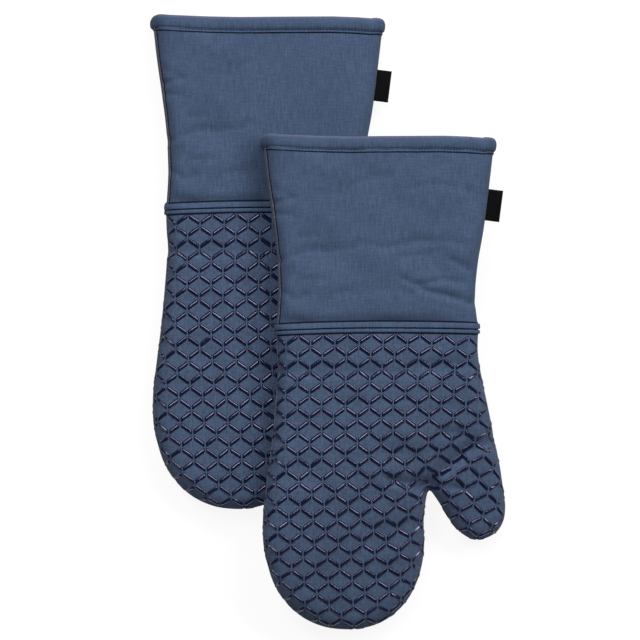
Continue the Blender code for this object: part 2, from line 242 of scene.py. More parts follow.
# Creases on the upper face, in millimetres: their line, how deep they are, and how wide to its left and right
CREASES = (
    # across the hand below the cuff
    (((-70, -28.2), (-30, -28.3), (-5, -28.0), (23, -28.3), (40, -27.0), (60, -25.5)), 1.5, 8.0, 2.2),
    (((24, -21.5), (40, -20.0), (58, -19.5)), 0.5, 3.0, 3.0),
    (((-24, -49.5), (-6, -49.0)), 0.5, 5.0, 5.0),
    # where the thumb folds up from the palm
    (((34.0, -110.7), (39.0, -105.7), (45.0, -100.6), (52.2, -94.6), (64.8, -84.4), (73.8, -80.2),
      (81.0, -78.2)), 2.6, 6.5, 4.2),
    (((48.0, -70.0), (58.0, -70.5)), 1.6, 4.0, 5.0),
    (((2.0, -84.0), (28.0, -88.0)), 0.7, 7.0, 6.0),
    # either side of the crotch
    (((9.0, -105.2), (20.6, -107.5), (33.0, -109.0)), 2.1, 5.0, 2.3),
    (((40.0, -111.0), (47.0, -109.0), (56.0, -110.5), (66.0, -113.0)), 1.1, 2.6, 2.0),
    (((-20.0, -100.0), (0.0, -112.0)), 0.5, 6.0, 6.0),
    # cuff, from the mouth down to the welt
    (((-72.6, 93.9), (-61.1, 97.5)), 1.2, 2.0, 1.6),
    (((-71.5, 86.5), (-60.0, 85.0)), 0.7, 2.2, 2.2),
    (((-72.0, 104.0), (-64.0, 100.5)), 0.8, 2.4, 2.4),
    (((-39.5, 99.7), (-28.0, 100.0), (-17.9, 106.5), (-2.0, 111.9), (9.0, 112.8)), 0.55, 4.0, 2.8),
    (((23.8, 103.6), (35.4, 106.9), (46.9, 106.9), (55.5, 105.4), (72.0, 99.7)), 0.6, 3.0, 2.2),
    (((-55.4, 69.4), (-46.0, 71.0)), 0.5, 2.8, 2.4),
    (((-70.0, 52.0), (-59.7, 55.5), (-46.7, 60.0), (-36.6, 59.0), (-19.4, 61.0), (-7.9, 63.8), (5.1, 62.0),
      (18.1, 64.0), (29.6, 66.6), (41.1, 65.6), (52.6, 66.0), (62.0, 64.0)), 0.85, 3.8, 2.2),
    (((15.2, 55.0), (29.6, 56.5), (46.9, 60.8)), 0.5, 2.0, 1.6),
    (((52.6, 53.6), (58.4, 50.4), (66.5, 45.8)), 1.0, 2.6, 2.0),
    (((-53.9, 39.9), (-36.6, 39.2)), 0.45, 2.6, 2.4),
    (((18.1, 39.2), (26.7, 36.0), (38.2, 36.8), (46.9, 38.6), (62.0, 36.6)), 1.15, 2.4, 1.5),
    (((31.0, 32.0), (39.7, 29.4), (49.8, 27.2), (58.4, 24.4), (68.0, 21.4)), 1.9, 3.6, 1.8),
    (((-67.0, 30.5), (-58.2, 25.2), (-52.0, 27.5)), 0.8, 3.0, 2.4),
    (((-25.1, 29.1), (-2.1, 31.3), (15.2, 31.6), (24.0, 28.6)), 0.6, 4.5, 3.0),
)

# Soft waves of the padding: stretch across and along, wavelength in millimetres, seed, height in millimetres
HAND_WAVES = (((1.0, 1.0), 30, 3, 0.30), ((1.0, 1.0), 14, 8, 0.12))
CUFF_WAVES = (((1.0, 1.5), 46, 5, 0.55), ((0.8, 1.6), 20, 11, 0.16))
# They fade out towards the seam, and from here up those of the hand give way to those of the cuff
SEAM_FADE = 7 * MM
CUFF_WAVES_FROM, CUFF_WAVES_OVER = 2 * MM, 6 * MM
# The cuff swells out of the welt, by millimetres, which draws it in most along the middle of the mitt
WELT_TOP = 8 * MM
CUFF_SWELL, DRAWN_IN, DRAWN_IN_MIDDLE = 0.7, 1.0, 1.7
DRAWN_MIDDLE, DRAWN_REACH, DRAWN_FADE = -8 * MM, 66 * MM, 16 * MM
DRAWN_UP, DRAWN_POWER = 4.6 * MM, 1.8
# The lower mitt is pressed flat under the upper one, and this far beside it
PRESSED_BESIDE = 6 * MM
# The relief is read from a grid, which reaches past the seam by a margin
GRID_STEP, GRID_MARGIN = 1.0 * MM, 4 * MM
GRID_CORNER = SEAM.min(0) - GRID_MARGIN
# The lower face keeps a share of the creases, and is seated on its bars, in from the seam and below the welt
UNDERSIDE_SHARE = 0.25
SEATED_IN, SEATED_DOWN = 5 * MM, 6 * MM


def waves(plan, layers):
    """The sum of layers of soft waves, in millimetres."""
    return sum(ripples(plan * stretch, wavelength * MM, seed) * height
               for stretch, wavelength, seed, height in layers)


def swell(plan, mitt, sizes):
    """How far the cloth stands above its smooth form: waves of the padding, creases and pressed places."""
    depth, _ = nearest(plan)
    inner = smoothstep(depth / SEAM_FADE)
    on_cuff = smoothstep((plan[:, 1] - CUFF_WAVES_FROM) / CUFF_WAVES_OVER)
    height = (waves(plan, HAND_WAVES) * (1 - on_cuff) + waves(plan, CUFF_WAVES) * on_cuff) * inner
    above_welt = np.maximum(plan[:, 1] - WELT_TOP, 0)
    middle = smoothstep((DRAWN_REACH - np.abs(plan[:, 0] - DRAWN_MIDDLE)) / DRAWN_FADE)
    drawn_in = (DRAWN_IN + DRAWN_IN_MIDDLE * middle) * np.exp(-(above_welt / DRAWN_UP) ** DRAWN_POWER)
    height += on_cuff * (CUFF_SWELL - drawn_in) * inner
    for line, deep, left, right in CREASES:
        distance, turn = distance_to_line(plan, line)
        width = np.where(turn > 0, left, right) * MM
        height -= deep * np.exp(-(distance / width) ** 2)
    height = height * MM * sizes.softness
    if mitt == "lower":
        covered, _ = nearest(plan - UPPER_OFFSET)
        height *= 1 - smoothstep((covered + PRESSED_BESIDE) / PRESSED_BESIDE)
    return height


relief_grids = {}


def relief_grid(mitt, sizes):
    """The swell of the cloth on a grid over one mitt, worked out once."""
    key = (mitt, sizes.softness)
    if key not in relief_grids:
        across, along = (np.arange(0, span + 2 * GRID_MARGIN, GRID_STEP) for span in np.ptp(SEAM, axis=0))
        grid = np.stack(np.meshgrid(across, along, indexing="ij"), 2) + GRID_CORNER
        relief_grids[key] = swell(grid.reshape(-1, 2), mitt, sizes).reshape(grid.shape[:2])
    return relief_grids[key]


def puckers(plan, depth, side, mitt, sizes):
    """The swell of the cloth at places in the plan. The lower face lies flatter, on its bars."""
    heights = relief_grid(mitt, sizes)
    # the last place is just inside the last cell
    place = np.clip((plan - GRID_CORNER) / GRID_STEP, 0, np.array(heights.shape) - 1.001)
    low = place.astype(int)
    u, v = (place - low).T
    i, j = low.T
    height = ((heights[i, j] * (1 - u) + heights[i + 1, j] * u) * (1 - v)
              + (heights[i, j + 1] * (1 - u) + heights[i + 1, j + 1] * u) * v)
    seated = smoothstep(depth / SEATED_IN) * smoothstep(-plan[:, 1] / SEATED_DOWN)
    underside = np.minimum(height, 0) * UNDERSIDE_SHARE - settings().bars.height * seated
    return np.where(np.broadcast_to(side, depth.shape) > 0, height, underside)


def around(reach):
    """Steps from a place to itself and to its four neighbours."""
    return (0, 0), (reach, 0), (-reach, 0), (0, reach), (0, -reach)


def hollows(plan, depth, side, mitt, sizes, reach):
    """The lowest that the cloth stands within reach, so that the sheets below it stay below it."""
    steps = around(reach) if reach else ((0, 0),)
    return np.min([puckers(plan + step, depth, side, mitt, sizes) for step in steps], axis=0)


def droop(xy):
    """How far the upper mitt has come down from the lower one towards the table."""
    way = UPPER_OFFSET / np.linalg.norm(UPPER_OFFSET)
    return UPPER_LIFT * smoothstep((xy @ way - DRAPE_START) / (DRAPE_END - DRAPE_START))


def to_world(points, mitt):
    """Points of one mitt where they lie in the pair."""
    placed = points + ORIGINS[mitt]
    if mitt == "upper":
        placed[:, 2] -= droop(points[:, :2])
    return placed


# Meshes

def inside(points, polygon):
    """Which points are inside a polygon."""
    x, y = points[:, 0][:, None], points[:, 1][:, None]
    x1, y1 = polygon[:, 0], polygon[:, 1]
    x2, y2 = np.roll(x1, -1), np.roll(y1, -1)
    crosses = (y1 > y) != (y2 > y)
    at = x1 + (y - y1) * (x2 - x1) / np.where(y2 == y1, 1e-12, y2 - y1)
    return (crosses & (x < at)).sum(1) % 2 == 1


def straight(start, end, spacing):
    """Points between two ends, without the ends."""
    count = max(int(round(np.linalg.norm(end - start) / spacing)), 1)
    return start + (end - start) * (np.arange(1, count) / count)[:, None]


def wrist_end():
    """The point of the seam where the line that the thumb folds on comes out at the wrist."""
    way = (WRIST - CROTCH) / np.linalg.norm(WRIST - CROTCH)
    off = np.abs((SEAM - CROTCH) @ np.array((-way[1], way[0])))
    near = (np.arange(len(SEAM)) >= CROTCH_AT + PAST_CROTCH) & (SEAM[:, 1] >= WRIST_ABOVE)
    return int(np.where(near, off, np.inf).argmin())


WRIST_AT = wrist_end()


def regions(spacing):
    """Outlines of the panels: closed polygons, and the straight cuts in them."""
    on_hand = np.flatnonzero(SEAM[:, 1] <= HAND_TOP)
    low, high = on_hand[0], on_hand[-1]
    side = np.flatnonzero((SEAM[:, 1] > CUFF_BOTTOM) & (SEAM[:, 1] < CUFF_TOP))
    left, right = side[side < low], side[side > high]
    across_hand = straight(SEAM[high], SEAM[low], spacing)
    across_thumb = straight(SEAM[CROTCH_AT], SEAM[WRIST_AT], spacing)
    mouth_cut = straight(SEAM[right[-1]], SEAM[left[0]], spacing)
    welt_cut = straight(SEAM[left[-1]], SEAM[right[0]], spacing)
    palm = np.vstack((SEAM[low:CROTCH_AT + 1], across_thumb, SEAM[WRIST_AT:high + 1], across_hand))
    cuff = np.vstack((SEAM[right], mouth_cut, SEAM[left], welt_cut))
    return {
        "hand": (np.vstack((SEAM[low:high + 1], across_hand)), across_hand),
        "palm": (palm, np.vstack((across_hand, across_thumb))),
        "thumb": (np.vstack((SEAM[CROTCH_AT:WRIST_AT + 1], across_thumb[::-1])), across_thumb),
        "cuff": (cuff, np.vstack((mouth_cut, welt_cut))),
    }


def thin_out(points, gap):
    """Leaves out points that are closer than gap to one that is kept."""
    kept, cells = [], {}
    for i, (x, y) in enumerate(points):
        cell = (int(x // gap), int(y // gap))
        near = (j for a in (-1, 0, 1) for b in (-1, 0, 1) for j in cells.get((cell[0] + a, cell[1] + b), ()))
        if all((points[j][0] - x) ** 2 + (points[j][1] - y) ** 2 >= gap * gap for j in near):
            cells.setdefault(cell, []).append(i)
            kept.append(i)
    return points[kept]


# Points keep this share of the spacing clear, rows of even triangles are this share of it apart, a ring is
# left out where it strays from its depth by more than this, and a point so near the seam is on it
CLEAR, ROW = 0.6, 0.87
RING_STRAY, ON_SEAM = 0.04 * MM, 0.02 * MM


def fill(polygon, cuts, spacing, profile):
    """Triangles over a panel's plan, fine along the rounded edge: points, depth, way inwards, faces."""
    inner = []
    count = math.ceil(profile.arc / spacing)
    for along in np.arange(1, count + 1) * profile.arc / count:
        depth = float(profile.depth(along))
        ring = SEAM + SEAM_INWARD * depth
        true_depth, _ = nearest(ring)
        inner.append(thin_out(ring[true_depth > depth - RING_STRAY], CLEAR * spacing))
    low, high = polygon.min(0), polygon.max(0)
    columns = np.arange(low[0], high[0], spacing)
    grid = np.vstack([np.column_stack((columns + (k % 2) * spacing / 2, np.full(len(columns), y)))
                      for k, y in enumerate(np.arange(low[1], high[1], spacing * ROW))])
    grid = grid[inside(grid, polygon)]
    grid_depth, _ = nearest(grid)
    inner.append(grid[grid_depth > profile.width + CLEAR * spacing])
    points = np.vstack(inner)
    points = points[inside(points, polygon)]
    if len(cuts):
        clear = np.array([((cuts - p) ** 2).sum(1).min() for p in points]) > (CLEAR * spacing) ** 2
        points = points[clear]
    every = np.vstack((polygon, points)) / MM
    edges = [(i, (i + 1) % len(polygon)) for i in range(len(polygon))]
    made = geometry.delaunay_2d_cdt([Vector(p) for p in every], edges, [], 1, 1e-5)
    plan = np.array([tuple(v) for v in made[0]]) * MM
    faces = [f for f in made[2] if len(f) == 3]
    depth, inward = nearest(plan)
    return plan, np.where(depth < ON_SEAM, 0, depth), inward, np.array(faces)


def add_object(name, points, faces, uv=None, smooth=True):
    """A mesh object from points, faces and the place of each face corner in the flat cloth."""
    data = bpy.data.meshes.new(name)
    data.from_pydata([tuple(p) for p in points], [], [tuple(int(i) for i in f) for f in faces])
    if uv is not None:
        layer = data.uv_layers.new(name="cloth")
        layer.data.foreach_set("uv", np.asarray(uv, np.float32).ravel())
    data.polygons.foreach_set("use_smooth", [smooth] * len(data.polygons))
    made = bpy.data.objects.new(name, data)
    bpy.context.scene.collection.objects.link(made)
    return made


def alone(made):
    """Selects one object and nothing else."""
    bpy.ops.object.select_all(action="DESELECT")
    made.select_set(True)
    bpy.context.view_layer.objects.active = made


def apply_modifier(made, kind, **values):
    """Adds one modifier with its settings and applies it."""
    alone(made)
    modifier = made.modifiers.new(kind.title(), kind)
    for key, value in values.items():
        setattr(modifier, key, value)
    bpy.ops.object.modifier_apply(modifier=modifier.name)


def change_mesh(data, change):
    """Changes a mesh through bmesh."""
    mesh = bmesh.new()
    mesh.from_mesh(data)
    change(mesh)
    mesh.to_mesh(data)
    mesh.free()


def face_outwards(made):
    """Turns the faces of a closed piece outwards."""
    change_mesh(made.data, lambda mesh: bmesh.ops.recalc_face_normals(mesh, faces=mesh.faces))


def drop_loose(mesh):
    """Deletes points that no face uses."""
    bmesh.ops.delete(mesh, geom=[v for v in mesh.verts if not v.link_faces], context="VERTS")


filled_panels = {}


def panel(kind, spacing, profile):
    """The filled plan of one panel, made once for both mitts."""
    key = (kind, round(spacing / MM, 3))
    if key not in filled_panels:
        filled_panels[key] = fill(*regions(spacing)[kind], spacing, profile)
    return filled_panels[key]


# How far beside the upper face's place in the flat cloth the lower face has its own
UNDERSIDE_SHIFT = 0.5
# Edges of a sheet that turn more than this are shaded sharp
SHARP_ANGLE = math.radians(70)


def shell(name, kind, mitt, depth_below, thickness, spacing, sizes):
    """One sheet of one part of a mitt: upper and lower face, joined at the seam, with its thickness."""
    profile = Profile(sizes.edge_width, sizes.half_thickness)
    plan, depth, inward, faces = panel(kind, spacing, profile)
    flat = to_flat(plan, depth, inward, profile)
    reach = spacing / 2 if depth_below else 0.0
    both = []
    for side in FACES:
        height = hollows(plan, depth, side, mitt, sizes, reach) - depth_below
        both.append(on_surface(plan, depth, inward, side, height, profile))
    below = np.arange(len(plan)) + len(plan)
    shared = depth == 0
    below[shared] = np.flatnonzero(shared)
    under = below[faces][:, ::-1]
    uv = np.vstack((flat[faces].reshape(-1, 2), flat[faces[:, ::-1]].reshape(-1, 2) + (UNDERSIDE_SHIFT, 0.0)))
    made = add_object(name, to_world(np.vstack(both), mitt), np.vstack((faces, under)), uv)
    change_mesh(made.data, drop_loose)
    apply_modifier(made, "SOLIDIFY", thickness=thickness, offset=-1.0, use_even_offset=False)
    made.data.set_sharp_from_angle(angle=SHARP_ANGLE)
    return made


# The sides are followed down to here, past the narrowest place of the wrist
SIDES_FROM = -20 * MM


def side_at(y):
    """Where the left and the right side seam of the cuff are at a place along it."""
    low = SEAM[:, 1].argmin()
    left, right = SEAM[:low][::-1], SEAM[low:]
    left, right = left[left[:, 1] > SIDES_FROM], right[right[:, 1] > SIDES_FROM]
    return np.interp(y, left[:, 1], left[:, 0]), np.interp(y, right[:, 1], right[:, 0])


def band(name, mitt, base, section, columns, sizes, rise=None, hug=0.5):
    """A strip right round the cuff. Its section is pairs of a way along the mitt and a height."""
    profile = Profile(sizes.edge_width, sizes.half_thickness)
    share = np.linspace(0, 1, columns + 1)
    shares = np.concatenate((share, share[-2:0:-1]))
    sides = np.concatenate((np.ones(columns + 1), -np.ones(columns - 1)))
    ends = (shares == 0) | (shares == 1)
    rings, places = [], []
    for along, height in section:
        y = base(shares, sides, along)
        left, right = side_at(y)
        x = (left - profile.spare) * (1 - shares) + (right + profile.spare) * shares
        plan, depth, inward = from_flat(np.column_stack((x, y)), profile)
        plan[ends] = np.column_stack((np.where(shares == 0, left, right), y))[ends]
        depth = np.where(ends, 0, depth)
        lift = puckers(plan, depth, sides, mitt, sizes) * hug
        if rise is not None:
            lift = lift + rise(shares, sides, along, height)
        rings.append(to_world(on_surface(plan, depth, inward, sides, lift + height, profile), mitt))
        places.append(np.where(sides > 0, x, UNDERSIDE_SHIFT + x))
    count = len(shares)
    faces, uv = [], []
    steps = [math.dist(a, b) for a, b in zip(section, section[1:] + section[:1])]
    down = MOUTH - np.concatenate(([0], np.cumsum(steps)))
    for k in range(len(section)):
        n = (k + 1) % len(section)
        for j in range(count):
            m = (j + 1) % count
            faces.append((k * count + j, n * count + j, n * count + m, k * count + m))
            x0, x1 = places[k][j], places[k][m]
            # a face that goes round the side seam keeps to one face's cloth
            if abs(x1 - x0) > UNDERSIDE_SHIFT / 2:
                x1 = x0
            uv += [(x0, down[k]), (x0, down[k + 1]), (x1, down[k + 1]), (x1, down[k])]
    made = add_object(name, np.vstack(rings), faces, uv)
    face_outwards(made)
    return made


# Materials

def feed(tree, node, **inputs):
    """Gives sockets of a node, by name or by place as _0, a value or what a socket or another node gives."""
    for key, value in inputs.items():
        socket = node.inputs[int(key[1:])] if key[0] == "_" else node.inputs[key.replace("_", " ")]
        if isinstance(value, bpy.types.Node):
            value = value.outputs[0]
        if isinstance(value, bpy.types.NodeSocket):
            tree.links.new(value, socket)
        else:
            socket.default_value = value


def add_node(tree, kind, settings=None, stops=(), **inputs):
    """Adds one node with its settings, the places and colours of its ramp, and what its sockets are fed."""
    node = tree.nodes.new(kind)
    for key, value in (settings or {}).items():
        setattr(node, key, value)
    if stops:
        elements = node.color_ramp.elements
        while len(elements) < len(stops):
            elements.new(0.5)
        for element, (place, colour) in zip(elements, stops):
            element.position = place
            element.color = (*colour, 1.0)
    feed(tree, node, **inputs)
    return node


def new_material(name, **constants):
    """A new material's node tree and its shader, with the shader's constants set."""
    made = bpy.data.materials.new(name)
    made.use_nodes = True
    tree = made.node_tree
    shader = tree.nodes["Principled BSDF"]
    feed(tree, shader, **constants)
    return tree, shader


def shade(colour, factor):
    """A colour made darker or lighter."""
    return tuple(min(c * factor, 1.0) for c in colour)


def tones(colour, *pairs):
    """Stops of a ramp, from pairs of a place and a factor of one colour."""
    return [(place, shade(colour, factor)) for place, factor in pairs]


def finish_piece(made, body, material, nodes=(), blend=None):
    """Gives a piece its material, hides the CAD parts it stands for, and attaches it to its body or bakes its
    place.
    """
    made.data.materials.clear()
    made.data.materials.append(bpy.data.materials[material])
    if blend:
        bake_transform(made)
    else:
        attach(made, body)
    if nodes:
        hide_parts(*nodes)


# The fingers bend between these two places along the mitt, and the thumb over this band beside its line
FINGERS_BEND = -116 * MM, -142 * MM
THUMB_BAND = 24 * MM


def joint_blend(part):
    """How the fingers and the thumb of the upper mitt bend away from its palm."""
    if part == "thumb":
        a, b = SEAM[CROTCH_AT], SEAM[WRIST_AT]
        way = (b - a) / np.linalg.norm(b - a)
        start = (a + b) / 2
        end = start + np.array((way[1], -way[0])) * THUMB_BAND
    else:
        start, end = ((0.0, along) for along in FINGERS_BEND)
    origin = ORIGINS["upper"]
    return "upper_mitt", "upper_" + part, tuple(origin + (*start, 0)), tuple(origin + (*end, 0))


# Settings

# How deep the binding is, from the mouth to its sewn edge
HEM_DEPTH = 11.3 * MM


def length_property(name, description, default):
    """A length that the panel shows."""
    return FloatProperty(name=name, description=description, default=default, unit="LENGTH", precision=4)


def colour_property(name, description, hex_colour):
    """A colour that the panel shows."""
    return FloatVectorProperty(name=name, description=description, subtype="COLOR", size=3, min=0.0, max=1.0,
                               default=linear(hex_colour))


class MittSizes(bpy.types.PropertyGroup):
    half_thickness: length_property("Half thickness", "From the middle of a mitt to the outside of its cloth",
                                    11 * MM)
    edge_width: length_property("Edge width", "How far in from the seam the rounding reaches", 12 * MM)
    softness: FloatProperty(name="Softness", description="Depth of the waves and creases in the padding",
                            default=1.35, min=0.0, max=2.0)
    cloth_spacing: length_property("Cloth spacing", "Spacing of the points of the outer cloth", 1.8 * MM)
    inner_spacing: length_property("Inner spacing", "Spacing of the points of wadding and lining", 4.5 * MM)


class BarSizes(bpy.types.PropertyGroup):
    length: length_property("Length", "Length of a silicone bar across the hand", 7.5 * MM)
    width: length_property("Width", "Width of a bar along the hand", 3.6 * MM)
    height: length_property("Height", "How far a bar stands out of the cloth", 1.15 * MM)
    slant: FloatProperty(name="Slant", description="Rise of a bar over its length", default=0.70)
    across: length_property("Spacing across", "From one column of bars to the next", 8.64 * MM)
    along: length_property("Spacing along", "From one row of bars to the next", 8.83 * MM)


class TrimSizes(bpy.types.PropertyGroup):
    hem_depth: length_property("Hem depth", "Depth of the binding at the mouth", HEM_DEPTH)
    stitch_length: length_property("Stitch length", "Length of one stitch of the hem", 1.7 * MM)
    stitch_spacing: length_property("Stitch spacing", "From one stitch to the next", 2.3 * MM)
    label_width: length_property("Label width", "How far the ribbon label stands out of the seam", 9.8 * MM)
    label_length: length_property("Label length", "Length of the ribbon label along the seam", 23 * MM)


class MittColours(bpy.types.PropertyGroup):
    hand_cloth: colour_property("Hand cloth", "Cotton between the silicone bars", "3F506B")
    cuff_cloth: colour_property("Cuff cloth", "Cotton twill of the cuff", "3C4E6A")
    silicone: colour_property("Silicone", "Raised bars on the hand", "0B1632")
    # the thread colour also colours the dark strips painted as shade at the welt and under the binding's edge
    thread: colour_property("Thread", "Stitches of the hem and lines of the seams", "0B1428")
    seam: colour_property("Seam", "Edge of the side seam", "575A68")
    ribbon: colour_property("Ribbon", "Woven label", "030304")
    lining: colour_property("Lining", "Cotton inside the mitts", "59657A")
    wadding: colour_property("Wadding", "Filling between cloth and lining", "DDDAD2")


Settings = namedtuple("Settings", "sizes bars trim colours")


def settings():
    """The sizes and colours that the panel shows."""
    scene = bpy.context.scene
    return Settings(scene.mitt_sizes, scene.mitt_bars, scene.mitt_trim, scene.mitt_colours)


# Finishes

# Shares of the streaks along the warp and the weft and of the finer flecks in the look of a weave
WEAVE_SHARES = (0.4, 0.25, 0.35)
# The fold over the mouth is tinted paler, towards a greyish mauve, this near its crest, and no more this far
# from it, and takes this share of that colour
CREST_TINT_FROM, CREST_TINT_TO, CREST_TINT_SHARE = 0.3 * MM, 1.5 * MM, 0.25
CREST_TINT_COLOUR = "8A7F97"
# The clouds in dyed cloth, from bluish dark to warm light: places in the noise and factors of the colour
CLOUDS = ((0.3, (0.90, 0.91, 0.93)), (0.7, (1.08, 1.075, 1.06)))


def woven(tree, flat, *grains):
    """Light and dark of a weave, around 0.5. Each grain is streaks or flecks per metre across and along."""
    total = 0.0
    for (across, along), share in reversed(tuple(zip(grains, WEAVE_SHARES))):
        place = add_node(tree, "ShaderNodeMapping", Vector=flat, Scale=(across, along, 1.0))
        noise = add_node(tree, "ShaderNodeTexNoise", Vector=place, Scale=1.0, Detail=2.0, Roughness=0.6)
        total = add_node(tree, "ShaderNodeMath", {"operation": "MULTIPLY_ADD"}, _0=noise, _1=share, _2=total)
    return total


def dyed(tree, flat, weave, colour, contrast, cloud):
    """The colour of dyed cloth: light and dark with its weave, and broader clouds where it is rubbed."""
    stops = tones(colour, (0.36, 1 - contrast), (0.5, 1), (0.64, 1 + contrast))
    fine = add_node(tree, "ShaderNodeValToRGB", stops=stops, Fac=weave)
    place = add_node(tree, "ShaderNodeMapping", Vector=flat, Scale=(*cloud, 1.0))
    noise = add_node(tree, "ShaderNodeTexNoise", Vector=place, Scale=1.0, Detail=3.0)
    broad = add_node(tree, "ShaderNodeValToRGB", stops=CLOUDS, Fac=noise)
    return add_node(tree, "ShaderNodeMix", {"data_type": "RGBA", "blend_type": "MULTIPLY"}, _0=1.0, _6=fine,
                    _7=broad).outputs[2]


def hand_cloth(colour):
    """Plain-woven cotton, printed with silicone: matt and linen-like, with slubs and a little nap."""
    tree, shader = new_material("woven_cotton_hand", Roughness=0.92, Sheen_Weight=0.08, Sheen_Roughness=0.5)
    flat = add_node(tree, "ShaderNodeUVMap", {"uv_map": "cloth"})
    # slubs are 1 to 2 mm wide and some 6 mm long, and clouds some 25 mm
    weave = woven(tree, flat, (650, 170), (170, 750), (900, 1000))
    bump = add_node(tree, "ShaderNodeBump", Strength=0.5, Distance=0.4 * MM, Height=weave)
    feed(tree, shader, Base_Color=dyed(tree, flat, weave, colour, 0.42, (40, 40)), Normal=bump)


def cuff_cloth(name, colour, edge=0.0):
    """Fine cotton twill: matt, with faint streaks along the warp where its dye took unevenly."""
    tree, shader = new_material(name, Roughness=0.9, Sheen_Weight=0.08, Sheen_Roughness=0.45)
    flat = add_node(tree, "ShaderNodeUVMap", {"uv_map": "cloth"})
    # warp streaks are about 1 mm wide and 10 mm long, and clouds some 40 by 55 mm
    weave = woven(tree, flat, (820, 90), (110, 800), (800, 900))
    tinted = dyed(tree, flat, weave, colour, 0.34, (26, 18))
    if edge:
        # the fold over the mouth is paler, a greyish mauve, along its crest
        height = add_node(tree, "ShaderNodeSeparateXYZ", Vector=flat).outputs["Y"]
        away = add_node(tree, "ShaderNodeMath", {"operation": "SUBTRACT"}, _0=height, _1=MOUTH - edge)
        away = add_node(tree, "ShaderNodeMath", {"operation": "ABSOLUTE"}, _0=away)
        near = add_node(tree, "ShaderNodeMapRange", Value=away, From_Min=CREST_TINT_FROM, From_Max=CREST_TINT_TO,
                        To_Min=CREST_TINT_SHARE, To_Max=0.0)
        tinted = add_node(tree, "ShaderNodeMix", {"data_type": "RGBA"}, _0=near, _6=tinted,
                          _7=(*linear(CREST_TINT_COLOUR), 1.0)).outputs[2]
    bump = add_node(tree, "ShaderNodeBump", Strength=0.4, Distance=0.3 * MM, Height=weave)
    feed(tree, shader, Base_Color=tinted, Normal=bump)


def silicone(colour):
    """Screen-printed liquid silicone rubber: near-black navy, domed, with one soft-edged streak of gloss."""
    tree, shader = new_material("printed_silicone", IOR=1.65, Specular_Tint=(*linear("E6DCFF"), 1.0))
    place = add_node(tree, "ShaderNodeTexCoord").outputs["Object"]
    # dust lies in specks some 3 mm apart
    dust = add_node(tree, "ShaderNodeTexNoise", Vector=place, Scale=300.0, Detail=2.0)
    dusty = add_node(tree, "ShaderNodeValToRGB", stops=tones(colour, (0.35, 0.8), (0.7, 1.4)), Fac=dust)
    rough = add_node(tree, "ShaderNodeMapRange", Value=dust, From_Min=0.35, From_Max=0.7,
                     To_Min=0.13, To_Max=0.22)
    # handling has rubbed it dull towards the seams
    rim = add_node(tree, "ShaderNodeAttribute", {"attribute_name": "rim"}).outputs["Fac"]
    dull = add_node(tree, "ShaderNodeMath", {"operation": "MULTIPLY"}, _0=rim, _1=0.65)
    rough = add_node(tree, "ShaderNodeMath", {"operation": "MAXIMUM"}, _0=rough, _1=dull)
    bump = add_node(tree, "ShaderNodeBump", Strength=0.12, Distance=0.4 * MM, Height=dust)
    feed(tree, shader, Base_Color=dusty, Roughness=rough, Normal=bump)


def twisted_thread(name, colour, pale):
    """Spun polyester thread: matt, with the light and dark of its twist."""
    tree, shader = new_material(name, Roughness=0.8, Specular_IOR_Level=0.15)
    place = add_node(tree, "ShaderNodeTexCoord").outputs["Object"]
    # one turn of the twist is some 0.9 mm long
    twist = add_node(tree, "ShaderNodeTexNoise", Vector=place, Scale=1100.0, Detail=2.0)
    tinted = add_node(tree, "ShaderNodeValToRGB", stops=tones(colour, (0.35, 0.7), (0.68, pale)), Fac=twist)
    bump = add_node(tree, "ShaderNodeBump", Strength=0.5, Distance=0.2 * MM, Height=twist)
    feed(tree, shader, Base_Color=tinted, Normal=bump)


def woven_ribbon(colour):
    """Satin-woven polyester ribbon: near black, its floats catching a soft light across the weave."""
    tree, shader = new_material("woven_ribbon", Specular_IOR_Level=0.08)
    flat = add_node(tree, "ShaderNodeUVMap", {"uv_map": "cloth"})
    # floats are 2 mm long and 0.4 mm apart
    place = add_node(tree, "ShaderNodeMapping", Vector=flat, Scale=(500, 2600, 1.0))
    floats = add_node(tree, "ShaderNodeTexNoise", Vector=place, Scale=1.0, Detail=2.0)
    tinted = add_node(tree, "ShaderNodeValToRGB", stops=tones(colour, (0.35, 0.7), (0.65, 2.2)), Fac=floats)
    rough = add_node(tree, "ShaderNodeMapRange", Value=floats, To_Min=0.42, To_Max=0.6)
    bump = add_node(tree, "ShaderNodeBump", Strength=0.4, Distance=0.2 * MM, Height=floats)
    feed(tree, shader, Base_Color=tinted, Roughness=rough, Normal=bump)


def wadding_batt(colour):
    """Needled polyester wadding: off-white, fluffy and quite matt."""
    tree, shader = new_material("needled_wadding", Roughness=1.0, Sheen_Weight=0.3)
    place = add_node(tree, "ShaderNodeTexCoord").outputs["Object"]
    # tufts are some 4 mm across
    tufts = add_node(tree, "ShaderNodeTexNoise", Vector=place, Scale=260.0, Detail=5.0)
    tinted = add_node(tree, "ShaderNodeValToRGB", stops=tones(colour, (0.3, 0.8), (0.7, 1.05)), Fac=tufts)
    bump = add_node(tree, "ShaderNodeBump", Strength=0.8, Distance=1.0 * MM, Height=tufts)
    feed(tree, shader, Base_Color=tinted, Normal=bump)


# How far along the binding's section from its sewn edge the crest of its fold is
CREST = 12.6 * MM


